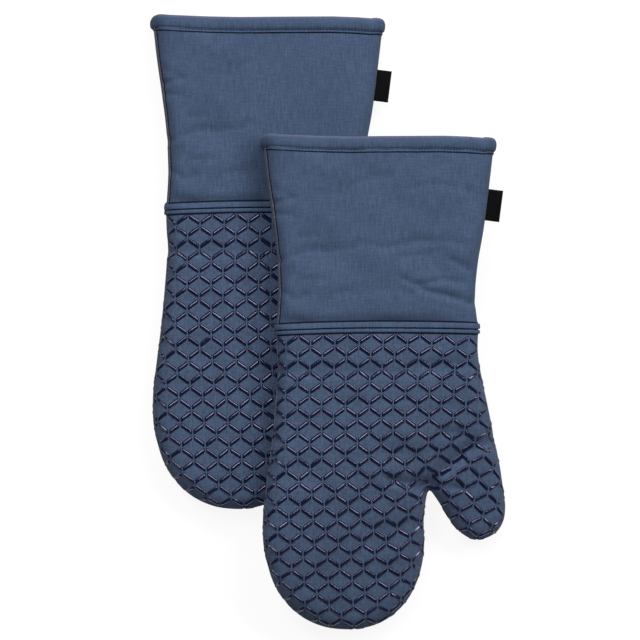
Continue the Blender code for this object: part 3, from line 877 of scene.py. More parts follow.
class OVENMITT_OT_finishes(bpy.types.Operator):
    """Make the cloth, silicone, thread and ribbon finishes"""
    bl_idname = "ovenmitt.finishes"
    bl_label = "Finishes"

    def execute(self, context):
        colours = settings().colours
        hand_cloth(tuple(colours.hand_cloth))
        cuff_cloth("cotton_twill_cuff", tuple(colours.cuff_cloth))
        cuff_cloth("cotton_twill_binding", tuple(colours.cuff_cloth), edge=CREST)
        cuff_cloth("cotton_lining", tuple(colours.lining))
        silicone(tuple(colours.silicone))
        # this finish also colours the dark strips painted as shade at the welt and under the binding's edge
        twisted_thread("spun_thread_and_painted_shade", tuple(colours.thread), 1.4)
        twisted_thread("overlocked_seam", tuple(colours.seam), 1.5)
        woven_ribbon(tuple(colours.ribbon))
        wadding_batt(tuple(colours.wadding))
        return {"FINISHED"}

# Cloth

# Panels of each mitt: its name in the scene, its outline, and the parts of the CAD model that it stands for
PANELS = {
    "lower": (("hand", "hand", ("hand",)), ("cuff", "cuff", ("cuff",))),
    "upper": (("hand", "palm", ("palm", "fingers")), ("thumb", "thumb", ("thumb",)),
              ("cuff", "cuff", ("cuff",))),
}
# Which joint bends a panel of the upper mitt
BENDS = {"palm": "fingers", "thumb": "thumb"}


def sheets(mitt, layer, depth_below, thickness, spacing, materials, sizes):
    """One layer of a whole mitt, panel by panel. Slots and materials are those of the hand and the cuff."""
    for name, kind, parts in PANELS[mitt]:
        made = shell(f"{mitt}_{name}_{layer}_sheet", kind, mitt, depth_below, thickness, spacing, sizes)
        nodes = [f"{mitt}_{part}_{face}_{layer}" for part in parts for face in ("top", "bottom")]
        blend = joint_blend(BENDS[kind]) if mitt == "upper" and kind in BENDS else None
        place = int(kind == "cuff")
        finish_piece(made, mitt + "_mitt", materials[place], nodes, blend)


class OVENMITT_OT_cloth(bpy.types.Operator):
    """Make the outer cloth of both mitts, with its soft waves and creases"""
    bl_idname = "ovenmitt.cloth"
    bl_label = "Outer Cloth"

    def execute(self, context):
        sizes = settings().sizes
        for mitt in MITTS:
            sheets(mitt, "cloth", 0.0, CLOTH_THICKNESS, sizes.cloth_spacing,
                   ("woven_cotton_hand", "cotton_twill_cuff"), sizes)
        return {"FINISHED"}


class OVENMITT_OT_inside(bpy.types.Operator):
    """Make the wadding and the lining of both mitts"""
    bl_idname = "ovenmitt.inside"
    bl_label = "Wadding and Lining"

    def execute(self, context):
        sizes = settings().sizes
        for mitt in MITTS:
            for layer, depth, thickness, material in (
                    ("wadding", WADDING_DEPTH, WADDING_THICKNESS, "needled_wadding"),
                    ("lining", LINING_DEPTH, LINING_THICKNESS, "cotton_lining")):
                sheets(mitt, layer, depth, thickness, sizes.inner_spacing,
                       (material,) * 2, sizes)
        return {"FINISHED"}


# Silicone bars

# Where a corner of the pattern falls on the palm and on the thumb, and how it is turned on the thumb
PALM_CORNER = np.array((-4.25, 1.58)) * MM
THUMB_CORNER = np.array((73.50, -103.35)) * MM
THUMB_TURN = np.array(((0.983, 0.208), (-0.121, 0.985)))
# The edge of the thumb's own pattern, in millimetres, from the crotch to the side of the mitt
THUMB_EDGE = ((38, -104.5), (41, -101.5), (45, -100.8), (50, -98.6), (54.6, -94.0), (60, -89.4), (65, -85.9),
              (72, -86.5), (90, -87))
# The palm's pattern drifts outwards below one place, and up beside another near the fingertips
SPREAD_BELOW, SPREAD = -92 * MM, 0.05
TILT_BESIDE, TILT_BELOW, TILT_OVER, TILT = 7 * MM, -105 * MM, 25 * MM, 0.10
# How it is drawn out over the padding: shifts across and along in millimetres, as sums of powers of the place
# across and along, which is counted from a middle, in these units and within these limits
DRIFT_ACROSS = (-1.315, -0.865, -1.334, 0.742, -0.656, 1.34, 0.933, -0.793, 1.543, 1.626)
DRIFT_ALONG = (0.14, 1.84, 1.614, 0.078, -1.626, -0.914, -0.662, -2.304, -0.162, -1.039)
DRIFT_MIDDLE, DRIFT_UNIT = np.array((0.0, -100.0)) * MM, np.array((70.0, 100.0)) * MM
DRIFT_LIMITS = (-1.15, -1.05), (1.15, 1.0)
# The crease of the thumb draws the pattern of the palm to itself: place, way and reach, in millimetres
THUMB_TAKES_IN = (((66.0, -82.0), (-3.4, -0.2), 11.0), ((80.0, -84.0), (-1.7, 0.3), 7.0),
                  ((44.0, -96.0), (-3.3, 1.6), 12.0))
# The fingers' bars are those of the palm's pattern below and left of this place
FINGERS_BELOW, FINGERS_LEFT = -104 * MM, 41 * MM
# Bars keep clear of the welt, reach this far short of the seam, and the thumb's keep clear of the others
BARS_TOP, SEAM_GAP, BARS_GAP = 1.5 * MM, 1.0 * MM, 5.6 * MM

# The back of a bar, from its wall to its crown: shares of its half width and of its height
BAR_BACK = ((1.0, 0.10), (0.86, 0.40), (0.62, 0.70), (0.52, 0.775), (0.12, 0.995), (0.06, 1.0))
# How deep a bar goes into the cloth, the rounding of its corners, and how much its ends draw in with its back
BAR_SUNK, BAR_CORNER, END_SHARE = 0.45 * MM, 0.6 * MM, 0.6
# Bars are lower at the seam and reach their height here, and are dull at the seam and glossy from there
LOW_SHARE, FULL_HEIGHT = 0.35, 6 * MM
DULL_TO, GLOSSY_OVER = 3 * MM, 8 * MM


def edit_edges(made, chosen, operate):
    """Runs an operator in edit mode on the edges that a test chooses."""
    alone(made)
    bpy.ops.object.mode_set(mode="EDIT")
    bpy.ops.mesh.select_mode(type="EDGE")
    bpy.ops.mesh.select_all(action="DESELECT")
    mesh = bmesh.from_edit_mesh(made.data)
    for edge in mesh.edges:
        if chosen(edge):
            edge.select_set(True)
    mesh.select_flush_mode()
    bmesh.update_edit_mesh(made.data)
    operate()
    bpy.ops.object.mode_set(mode="OBJECT")


def bar_template(bars):
    """One bar, unslanted: a rounded back with blunt ends, open below, where it goes into the cloth."""
    wall = bars.height * BAR_BACK[0][1]
    bpy.ops.object.select_all(action="DESELECT")
    bpy.ops.mesh.primitive_cube_add(size=1)
    made = bpy.context.active_object
    made.scale = (bars.length, bars.width, wall + BAR_SUNK)
    made.location = (0, 0, (wall - BAR_SUNK) / 2)
    bpy.ops.object.transform_apply(location=True, rotation=False, scale=True)

    def upright(edge):
        a, b = edge.verts
        return abs(a.co.z - b.co.z) > BAR_SUNK / 2

    def rim(edge):
        return all(abs(v.co.z - wall) < 0.01 * MM for v in edge.verts)

    def round_back():
        bpy.ops.mesh.select_mode(type="FACE")
        reach = bars.length / 2
        for (wide, low), (narrow, high) in zip(BAR_BACK, BAR_BACK[1:]):
            shorter = reach - END_SHARE * (wide - narrow) * bars.width / 2
            rise = (0, 0, (high - low) * bars.height)
            bpy.ops.mesh.extrude_region_move(TRANSFORM_OT_translate={"value": rise})
            bpy.ops.transform.resize(value=(shorter / reach, narrow / wide, 1.0))
            reach = shorter

    edit_edges(made, upright, lambda: bpy.ops.mesh.bevel(offset=BAR_CORNER, segments=2, affect="EDGES"))
    edit_edges(made, rim, round_back)
    data = made.data.copy()
    bpy.data.objects.remove(made)
    change_mesh(data, lambda mesh: bmesh.ops.delete(
        mesh, geom=[face for face in mesh.faces if face.normal.z < -0.5], context="FACES"))
    return data


def on_palm(pattern):
    """Where points of the pattern lie on the flat cloth of the palm."""
    flat = pattern + PALM_CORNER
    low = np.maximum(SPREAD_BELOW - flat[:, 1], 0)
    tilt = np.maximum(flat[:, 0] - TILT_BESIDE, 0) * smoothstep((TILT_BELOW - flat[:, 1]) / TILT_OVER)
    flat = flat + np.column_stack((SPREAD * low, TILT * tilt))
    u, v = np.clip((flat - DRIFT_MIDDLE) / DRIFT_UNIT, *DRIFT_LIMITS).T
    powers = np.column_stack((np.ones(len(u)), u, v, u * u, u * v, v * v,
                              u ** 3, u * u * v, u * v * v, v ** 3))
    taken_in = np.zeros_like(flat)
    for place, way, reach in THUMB_TAKES_IN:
        near = np.exp(-((flat - np.array(place) * MM) ** 2).sum(1) / (reach * MM) ** 2)
        taken_in += near[:, None] * np.array(way) * MM
    return flat + powers @ np.column_stack((DRIFT_ACROSS, DRIFT_ALONG)) * MM + taken_in


def on_thumb(pattern):
    """Where points of the pattern lie on the flat cloth of the thumb."""
    return pattern @ THUMB_TURN.T + THUMB_CORNER


def below_thumb_edge(flat):
    """Which places are on the thumb's side of the line where its own pattern begins."""
    x, y = (np.array(THUMB_EDGE) * MM).T
    return (flat[:, 0] > x[0]) & (flat[:, 1] < np.interp(flat[:, 0], x, y))


def bar_places(bars, columns, rows):
    """Places of bars in the pattern, and which way each leans."""
    i, k = (v.ravel() for v in np.meshgrid(np.arange(*columns), np.arange(*rows)))
    places = np.column_stack(((i + 0.5) * bars.across, -(k + 0.5) * bars.along))
    return places, np.where((i + k) % 2 == 0, -1.0, 1.0)


def bar_groups(bars, profile):
    """Bars by the stretch of seam that they lie along: places, leans, map to the cloth, range of the seam."""
    reach = SEAM_GAP - profile.spare

    def within(flat, first=0, last=None):
        return nearest(flat, first, last)[0] > reach

    places, leans = bar_places(bars, (-30, 31), (-2, 30))
    palm = on_palm(places)
    low = palm[:, 1] < FINGERS_BELOW
    upper = ~low & ~below_thumb_edge(palm) & (palm[:, 1] < BARS_TOP) & within(palm)
    fingers = low & (palm[:, 0] < FINGERS_LEFT) & within(palm, 0, CROTCH_AT + 1)
    thumb_places, thumb_leans = bar_places(bars, (-12, 13), (-12, 13))
    thumb = on_thumb(thumb_places)
    others = np.vstack((palm[upper], palm[fingers]))
    gap = np.array([((others - p) ** 2).sum(1).min() for p in thumb])
    on = below_thumb_edge(thumb) & within(thumb, CROTCH_AT) & (gap > BARS_GAP ** 2)
    return ((places[upper], leans[upper], on_palm, 0, None),
            (places[fingers], leans[fingers], on_palm, 0, CROTCH_AT + 1),
            (thumb_places[on], thumb_leans[on], on_thumb, CROTCH_AT, None))


def bend_bars(template, group, side, mitt, sizes, bars):
    """Bars of one group, bent point by point onto one face of a mitt, and how near the seam each point is."""
    places, leans, warp, first, last = group
    profile = Profile(sizes.edge_width, sizes.half_thickness)
    corners = np.array([tuple(v.co) for v in template.vertices])
    x, y = corners[:, 0], corners[:, 1]
    across = places[:, 0][:, None] + x
    along = places[:, 1][:, None] + y + leans[:, None] * bars.slant * x
    flat = warp(np.stack((across, along), 2).reshape(-1, 2))
    plan, depth, inward = from_flat(flat, profile, first, last)
    # the sheet of cloth is coarser than a bar and bridges the sharpest folds, and the bars stand on the sheet
    reach = 0.7 * sizes.cloth_spacing
    lift = np.mean([puckers(plan + step, depth, side, mitt, sizes) for step in around(reach)], axis=0)
    from_seam = profile.along(depth)
    proud = LOW_SHARE + (1 - LOW_SHARE) * smoothstep(from_seam / FULL_HEIGHT)
    height = lift + np.tile(corners[:, 2], len(places)) * proud
    points = to_world(on_surface(plan, depth, inward, side, height, profile), mitt)
    return points, 1 - smoothstep((from_seam - DULL_TO) / GLOSSY_OVER)


def join_copies(name, batches, template):
    """One mesh from batches of bent copies: the points and the side of each batch come first in it."""
    faces = [tuple(p.vertices) for p in template.polygons]
    count = len(template.vertices)
    points, every, start = [], [], 0
    for batch, side, *_ in batches:
        points.append(batch)
        for b in range(len(batch) // count):
            base = start + b * count
            every += [[base + i for i in (f if side > 0 else f[::-1])] for f in faces]
        start += len(batch)
    return add_object(name, np.vstack(points), every)


def finish_bars(name, batches, template, body, blend=None):
    """Joins bars, and stores at each point how near the seam it is."""
    made = join_copies(name, batches, template)
    rim = made.data.attributes.new("rim", "FLOAT", "POINT")
    rim.data.foreach_set("value", np.concatenate([batch[2] for batch in batches]).astype(np.float32))
    finish_piece(made, body, "printed_silicone", blend=blend)


class OVENMITT_OT_bars(bpy.types.Operator):
    """Make the raised silicone bars on both faces of both hands"""
    bl_idname = "ovenmitt.bars"
    bl_label = "Silicone Bars"

    def execute(self, context):
        sizes, bars, *_ = settings()
        profile = Profile(sizes.edge_width, sizes.half_thickness)
        template = bar_template(bars)
        groups = bar_groups(bars, profile)
        thumb_plan = regions(2 * MM)["thumb"][0]
        for mitt in MITTS:
            palm, thumb = [], []
            for places, leans, *where in groups:
                warp, first, last = where
                middle, _, _ = from_flat(warp(places), profile, first, last)
                past = inside(middle, thumb_plan) if mitt == "upper" else np.zeros(len(places), bool)
                for side in FACES:
                    for chosen, batches in ((~past, palm), (past, thumb)):
                        if chosen.any():
                            group = (places[chosen], leans[chosen], *where)
                            made, rim = bend_bars(template, group, side, mitt, sizes, bars)
                            batches.append((made, side, rim))
            if mitt == "lower":
                finish_bars("lower_silicone_bars", palm, template, "lower_mitt")
            else:
                for name, batches, part in (("hand", palm, "fingers"), ("thumb", thumb, "thumb")):
                    blend = joint_blend(part)
                    finish_bars(f"upper_{name}_silicone_bars", batches, template, "upper_mitt", blend)
        return {"FINISHED"}


# Welt, binding and stitches

# The line of the welt: its width and middle, its height above and below, and how far from its middle and how
# much lower its left and right end lie. Heights are in millimetres.
WELT_WIDTH, WELT_MIDDLE = 150 * MM, -6 * MM
WELT_ABOVE, WELT_BELOW = 1.4, 0.6
WELT_LEFT, WELT_LEFT_BOW, WELT_RIGHT, WELT_RIGHT_BOW = 77 * MM, 2.05, 72 * MM, 1.3
# The two rolled folds of the welt: where they begin and end along the mitt and their height, in millimetres
WELT_ROLLS = (("lower", 0.2, 2.75, 1.15), ("upper", 3.65, 7.6, 1.35))
# A dark strip below the folds, that paints the shade in the grooves above, between and below them: way along
# the mitt and height, in millimetres
WELT_SHADE_STRIP = ((-0.9, 0.0), (-0.6, 0.3), (1.5, 0.3), (3.3, 0.2), (6.0, 0.3), (8.6, 0.35), (8.9, 0.0),
              (8.0, -0.5), (0.0, -0.5))
# The dark strips painted as shade at the welt and at the binding's edge follow this share of the relief of
# the cloth
SHADE_STRIP_HUG = 0.8
WELT_COLUMNS = 170
# How far the folds bulge where they go round the side seams, and how fast that fades along their share
SIDE_BULGE, SIDE_FADE = 0.4 * MM, 60
# A fold loses this share of its height on the face that lies below, from this share of the width inwards
PRESSED_SHARE, PRESSED_FROM = 0.75, 0.06
# How far a roll goes past its half turn, and how deep and how far in its foot is sunk
ROLL_PAST, ROLL_STEPS, ROLL_SUNK, ROLL_IN = 0.35, 11, 0.7 * MM, 0.3 * MM


def scaled(section):
    """A section in metres from one in millimetres."""
    return [(along * MM, height * MM) for along, height in section]


def welt_line(shares, sides, along):
    """Where the parts of the welt are along the mitt. It bows up a little towards the middle."""
    x = (shares - 0.5) * WELT_WIDTH + WELT_MIDDLE
    bow = np.where(x < 0, WELT_LEFT_BOW * (x / WELT_LEFT) ** 2, WELT_RIGHT_BOW * (x / WELT_RIGHT) ** 2)
    return np.where(sides > 0, WELT_ABOVE - bow, WELT_BELOW) * MM + along


def pressed_below(shares, sides, height):
    """How much lower a fold stands on the face that lies below than on the face above."""
    pressed = PRESSED_SHARE * smoothstep(np.minimum(shares, 1 - shares) / PRESSED_FROM)
    return np.where(sides > 0, 0.0, pressed * np.maximum(height, 0))


def round_sides(shares, sides, along, height):
    """How the welt's folds bulge round the side seams, and are pressed flat below."""
    bulge = SIDE_BULGE * np.exp(-np.minimum(shares, 1 - shares) * SIDE_FADE)
    return bulge - pressed_below(shares, sides, height)


def roll(bottom, top, height):
    """The outline of a rolled fold between two places along the mitt."""
    middle, half = (bottom + top) / 2, (top - bottom) / 2
    turns = np.linspace(-ROLL_PAST, math.pi + ROLL_PAST, ROLL_STEPS)
    outer = [(middle - half * math.cos(t), height * (0.5 + 0.5 * math.sin(t))) for t in turns]
    return outer + [(top - ROLL_IN, -ROLL_SUNK), (bottom + ROLL_IN, -ROLL_SUNK)]


class OVENMITT_OT_welt(bpy.types.Operator):
    """Make the two rolled folds of the welt between hand and cuff, on a dark strip that paints the shade in
    the grooves around them
    """
    bl_idname = "ovenmitt.welt"
    bl_label = "Welt"

    def execute(self, context):
        sizes = settings().sizes
        for mitt in MITTS:
            body = mitt + "_mitt"
            for name, *outline in WELT_ROLLS:
                section = roll(*(v * MM for v in outline))
                made = band(f"{mitt}_welt_{name}_roll", mitt, welt_line, section, WELT_COLUMNS, sizes,
                            round_sides)
                finish_piece(made, body, "cotton_twill_binding", [f"{mitt}_welt_{name}_fold"])
            # a dark strip painted as the shade in the grooves above, between and below the folds
            made = band(f"{mitt}_welt_shade_strip", mitt, welt_line, scaled(WELT_SHADE_STRIP), WELT_COLUMNS, sizes,
                        hug=SHADE_STRIP_HUG)
            finish_piece(made, body, "spun_thread_and_painted_shade")
        return {"FINISHED"}


# How the mouth of the cuff runs, in millimetres: across, and above or below its straight line
MOUTH_WAVE = ((-90, 1.3), (-77, 1.3), (-70, 0.7), (-55, 0.1), (-42, -0.4), (-19, -0.9), (6, -0.6), (48, -0.4),
              (65, -1.0), (77, -1.9), (81, -1.5), (90, -2.2))
# Its width and middle, and its two rounded corners: place, width and drop, in millimetres
MOUTH_WIDTH, MOUTH_MIDDLE = 179.2, 1.0
LEFT_CORNER, RIGHT_CORNER = (-88.6, 14, 7.0), (90.6, 8, 2.6)
# The outline of the folded binding, in millimetres: stretches along the mitt from its sewn edge or from the
# mouth, and height. It goes over the mouth, down inside the cuff, and back in the fold.
HEM_OUTLINE = (
    ("edge", ((0.0, 0.0), (0.0, 0.45), (0.3, 0.8), (0.65, 0.85), (1.0, 0.5), (1.3, 0.1), (1.7, 0.05),
              (2.2, 0.5), (2.8, 1.1), (3.6, 1.6), (4.8, 1.95))),
    ("mouth", ((-4.6, 2.15), (-2.8, 2.0), (-1.2, 1.3), (-0.3, 0.4), (0.0, -0.7), (0.0, -2.8), (0.0, -4.8),
               (-0.4, -5.7), (-1.6, -6.1), (-5.0, -6.15))),
    ("edge", ((0.6, -6.1), (0.0, -5.8), (0.2, -5.4))),
    ("mouth", ((-5.0, -5.35), (-1.8, -5.3), (-1.3, -4.0), (-1.3, -1.0), (-1.8, 0.05), (-5.0, 0.04))),
)
HEM_COLUMNS, EDGE_SHADE_COLUMNS = 420, 210
# A dark rounded strip along the sewn edge, that paints the shade in the crevice under the binding's edge: way
# along the mitt from that edge and height, in millimetres
EDGE_SHADE_CORD = ((-0.85, 0.0), (-0.65, 0.3), (0.3, 0.35), (0.3, -0.3), (-0.65, -0.3))
# The row of stitches: its way up from the sewn edge, how far it keeps from the sides, how high it lies, and
# the share of the relief of the cloth that it follows
STITCH_ROW, STITCH_ENDS, STITCH_LIFT, STITCH_HUG = 1.65 * MM, 2 * MM, 0.30 * MM, 0.5
STITCH_RADII, STITCH_BULGE = (0.30 * MM, 0.28 * MM), 0.12 * MM
# The puckers that the stitches draw in: where along the binding, how far they reach, how far apart they
# are, and their height in millimetres, which grows to the right
PUCKER_ROW, PUCKER_REACH, PUCKER_SPACING = -8.9 * MM, 2.0 * MM, 2.3 * MM
PUCKER_LEAST, PUCKER_MORE, DEEPER_FROM, DEEPER_OVER = 0.05, 0.16, -40 * MM, 60 * MM
# Slower waves of the binding: height in millimetres, how quickly they turn and how that comes and goes along
# it, and over what they fade out towards the mouth
WAVE_HEIGHT, WAVE_LENGTH, WAVE_SLOW, WAVE_SWING, WAVE_FADE = 0.16, 5.2 * MM, 13 * MM, 1.7, 4 * MM


def mouth_line(shares, sides, along):
    """Where the parts of the binding are along the mitt: its edge dips, and is rounded off at the corners."""
    x = (shares - 0.5) * MOUTH_WIDTH + MOUTH_MIDDLE
    wave = np.interp(x, *np.array(MOUTH_WAVE).T)
    drop = 0.0
    for place, width, deep in (LEFT_CORNER, RIGHT_CORNER):
        near = np.clip(1 - np.abs(x - place) / width, 0, 1)
        drop = drop + deep * (1 - np.sqrt(1 - near ** 2))
    share = np.clip(1 + along / HEM_DEPTH, 0, 1)
    return MOUTH + (wave - drop * share) * MM + along


def hem_waves(shares, sides, along, height):
    """Small puckers that the stitches draw into the binding. On the lower face it is pressed flat."""
    x = (shares - 0.5) * MOUTH_WIDTH * MM
    near = math.exp(-((along - PUCKER_ROW) / PUCKER_REACH) ** 2)
    strength = PUCKER_LEAST + PUCKER_MORE * smoothstep((x - DEEPER_FROM) / DEEPER_OVER)
    # the puckers of the two faces are out of step
    wave = np.sin(2 * math.pi * x / PUCKER_SPACING + 0.8 * sides)
    slow = np.sin(x / WAVE_LENGTH + WAVE_SWING * np.sin(x / WAVE_SLOW))
    waved = (strength * wave * near + WAVE_HEIGHT * slow * smoothstep(-along / WAVE_FADE)) * MM
    return waved - pressed_below(shares, sides, height)


def hem_section(depth):
    """The outline of the folded binding in metres, for a depth of the hem."""
    starts = {"edge": -depth, "mouth": 0.0}
    return [(starts[start] + along * MM, height * MM)
            for start, points in HEM_OUTLINE for along, height in points]


def stitch_template(trim):
    """One stitch: a thread that rises out of the cloth and dives back."""
    bpy.ops.object.select_all(action="DESELECT")
    bpy.ops.mesh.primitive_uv_sphere_add(segments=6, ring_count=6, radius=1, rotation=(0, math.pi / 2, 0))
    made = bpy.context.active_object
    made.scale = (*STITCH_RADII, trim.stitch_length / 2)
    bpy.ops.object.transform_apply(location=True, rotation=True, scale=True)
    data = made.data.copy()
    for vertex in data.vertices:
        vertex.co.z += STITCH_BULGE * (1 - (2 * vertex.co.x / trim.stitch_length) ** 2)
    bpy.data.objects.remove(made)
    return data


def bend_stitches(template, mitt, side, sizes, trim):
    """The row of stitches on one face of a mitt, bent onto its binding."""
    profile = Profile(sizes.edge_width, sizes.half_thickness)
    corners = np.array([tuple(v.co) for v in template.vertices])
    row = STITCH_ROW - trim.hem_depth
    left, right = (float(v) for v in side_at(MOUTH - trim.hem_depth))
    left, right = left - profile.spare, right + profile.spare
    run = np.arange(left + STITCH_ENDS, right - STITCH_ENDS, trim.stitch_spacing)
    shares, sides = (run - left) / (right - left), np.full(len(run), side)
    middles = np.column_stack((run, mouth_line(shares, sides, row)))
    plan, depth, inward = from_flat((middles[:, None, :] + corners[None, :, :2]).reshape(-1, 2), profile)
    lift = hem_waves(shares, sides, row, 0.0) + STITCH_LIFT
    height = np.repeat(lift, len(corners)) + np.tile(corners[:, 2], len(run))
    height = height + puckers(plan, depth, side, mitt, sizes) * STITCH_HUG
    return to_world(on_surface(plan, depth, inward, side, height, profile), mitt)


class OVENMITT_OT_binding(bpy.types.Operator):
    """Make the binding folded over the mouth of each cuff, the stitches that hold it, and a dark strip
    painted as the shade under its sewn edge
    """
    bl_idname = "ovenmitt.binding"
    bl_label = "Mouth Binding"

    def execute(self, context):
        sizes, _, trim, _ = settings()
        template = stitch_template(trim)
        edge_shade = [(along - trim.hem_depth, height) for along, height in scaled(EDGE_SHADE_CORD)]
        for mitt in MITTS:
            body = mitt + "_mitt"
            made = band(f"{mitt}_folded_binding", mitt, mouth_line, hem_section(trim.hem_depth), HEM_COLUMNS,
                        sizes, hem_waves)
            finish_piece(made, body, "cotton_twill_binding", [f"{mitt}_mouth_binding"])
            # a dark rounded strip painted as the shade in the crevice under the binding's sewn edge
            made = band(f"{mitt}_binding_edge_shade", mitt, mouth_line, edge_shade, EDGE_SHADE_COLUMNS, sizes,
                        hug=SHADE_STRIP_HUG)
            finish_piece(made, body, "spun_thread_and_painted_shade")
            batches = [(bend_stitches(template, mitt, side, sizes, trim), side) for side in FACES]
            made = join_copies(f"{mitt}_binding_stitches", batches, template)
            finish_piece(made, body, "spun_thread_and_painted_shade")
        return {"FINISHED"}


# Side seams

# How far the seam has rolled onto a face on the hand, and how much further on the cuff, in millimetres
ROLLED, ROLLED_MORE = 3.2, 2.0
# Its half width on the hand, and how much wider it is on the cuff, in millimetres
SEAM_HALF, SEAM_WIDER = 0.75, 0.95
# It rolls under the mitt round the fingertips, from this place across, and is on top above the other place
UNDER_FROM, UNDER_OVER, ON_TOP_ABOVE = -62 * MM, 60 * MM, -150 * MM
SEAM_CUFF_FROM, SEAM_CUFF_OVER = -10 * MM, 30 * MM
# Shift and width as shares of the half width, and lowest and highest place, of the edge and its sewing line
RIDGE = (0.0, 1.0, -0.4 * MM, 0.6 * MM)
SEWING_LINE = (1.3, 0.28, -0.3 * MM, 0.3 * MM)
SEAM_SIDES = 8
# The seam ends this far short of the cuff's end, and its sewing line this far above the welt's foot
SEAM_END, SEWING_FOOT = 2 * MM, 8 * MM


def seam_place():
    """How far along the cloth the seam has rolled onto the upper face, or under it, and its half width."""
    low = SEAM[:, 1].argmin()
    x, y = SEAM[:, 0], SEAM[:, 1]
    share = smoothstep((x - UNDER_FROM) / UNDER_OVER)
    share[low + 1:] = 1
    share[: np.argmax(y < ON_TOP_ABOVE)] = 0
    on_cuff = smoothstep((y - SEAM_CUFF_FROM) / SEAM_CUFF_OVER)
    place = (ROLLED + ROLLED_MORE * on_cuff) * (1 - share) - ROLLED * share
    return place * MM, (SEAM_HALF + SEAM_WIDER * on_cuff * (1 - share)) * MM


def along_seam(name, mitt, first, last, sizes, shift, width, low, high):
    """A rolled edge or a line of thread along the side seam between two places on it."""
    profile = Profile(sizes.edge_width, sizes.half_thickness)
    rolled, half = (v[first:last] for v in seam_place())
    line, inward = SEAM[first:last], SEAM_INWARD[first:last]
    rings, count = [], len(line)
    for t in np.linspace(0, 2 * math.pi, SEAM_SIDES, endpoint=False):
        along = rolled + np.sign(rolled) * shift * half + width * half * math.cos(t)
        side = np.where(along >= 0, 1.0, -1.0)
        depth = profile.depth(np.abs(along))
        plan = line + inward * depth[:, None]
        height = (low + high) / 2 + (high - low) / 2 * math.sin(t) + puckers(plan, depth, side, mitt, sizes)
        rings.append(to_world(on_surface(plan, depth, inward, side, height, profile), mitt))
    faces = []
    for k in range(SEAM_SIDES):
        this, following = k * count, (k + 1) % SEAM_SIDES * count
        faces += [(this + j, following + j, following + j + 1, this + j + 1) for j in range(count - 1)]
    starts = [k * count for k in range(SEAM_SIDES)]
    faces += [tuple(starts), tuple(start + count - 1 for start in reversed(starts))]
    made = add_object(name, np.vstack(rings), faces)
    face_outwards(made)
    return made


class OVENMITT_OT_seams(bpy.types.Operator):
    """Make the sewn edge that runs up the sides of each mitt and round its fingers and thumb"""
    bl_idname = "ovenmitt.seams"
    bl_label = "Side Seams"

    def execute(self, context):
        sizes = settings().sizes
        ends = np.flatnonzero(SEAM[:, 1] < CUFF_TOP - SEAM_END)
        first, last = int(ends[0]), int(ends[-1]) + 1
        for mitt, name, start, end, part in (("lower", "side", first, last, None),
                                             ("upper", "finger", first, CROTCH_AT + 1, "fingers"),
                                             ("upper", "thumb", CROTCH_AT, WRIST_AT + 1, "thumb"),
                                             ("upper", "wrist", WRIST_AT, last, None)):
            made = along_seam(f"{mitt}_{name}_seam", mitt, start, end, sizes, *RIDGE)
            finish_piece(made, mitt + "_mitt", "overlocked_seam", blend=part and joint_blend(part))
        # the line that the rolled edge is sewn along, beside the left edge of the cuff
        foot = int(np.argmax(SEAM[:, 1] < SEWING_FOOT))
        for mitt in MITTS:
            made = along_seam(f"{mitt}_cuff_seam_line", mitt, first, foot, sizes, *SEWING_LINE)
            finish_piece(made, mitt + "_mitt", "spun_thread_and_painted_shade")
        return {"FINISHED"}


# Labels

# A label reaches into the seam, and its two plies of ribbon turn back at a fold, which takes this share of it
LABEL_SEWN_IN, LABEL_PLY, LABEL_RIBBON, LABEL_TURN = 2.2 * MM, 0.33 * MM, 0.28 * MM, 0.08
# It keeps this far within its solid at its end and at both sides, and sits this far up the cuff
LABEL_INSET, LABEL_SIDE_INSET, LABEL_UP = 0.3 * MM, 0.15 * MM, 0.5 * MM
# How high its free end curls, and how the curl runs along it
LABEL_CURL, CURL_TURN, CURL_START = 0.35 * MM, 2.2, 0.6
# Columns and rows of its mesh, and the length and width of its ribbon in the weave
LABEL_GRID, LABEL_WEAVE = (26, 22), (20 * MM, 23 * MM)


def ribbon_point(u, v, reach, half):
    """Where a point of the folded ribbon is: out of the seam, along it, and above its middle.

    It goes out along the lower ply, round the fold, and back along the upper ply.
    """
    if abs(u) > LABEL_TURN:
        run = (1 - abs(u)) / (1 - LABEL_TURN) * (reach - LABEL_PLY)
        height = math.copysign(LABEL_PLY, u)
    else:
        angle = u / LABEL_TURN * math.pi / 2
        run = reach - LABEL_PLY + LABEL_PLY * math.cos(angle)
        height = LABEL_PLY * math.sin(angle)
    curl = LABEL_CURL * math.sin(v * CURL_TURN + CURL_START) * (run / reach) ** 2
    return run - LABEL_SEWN_IN, v * half + LABEL_UP, height + curl


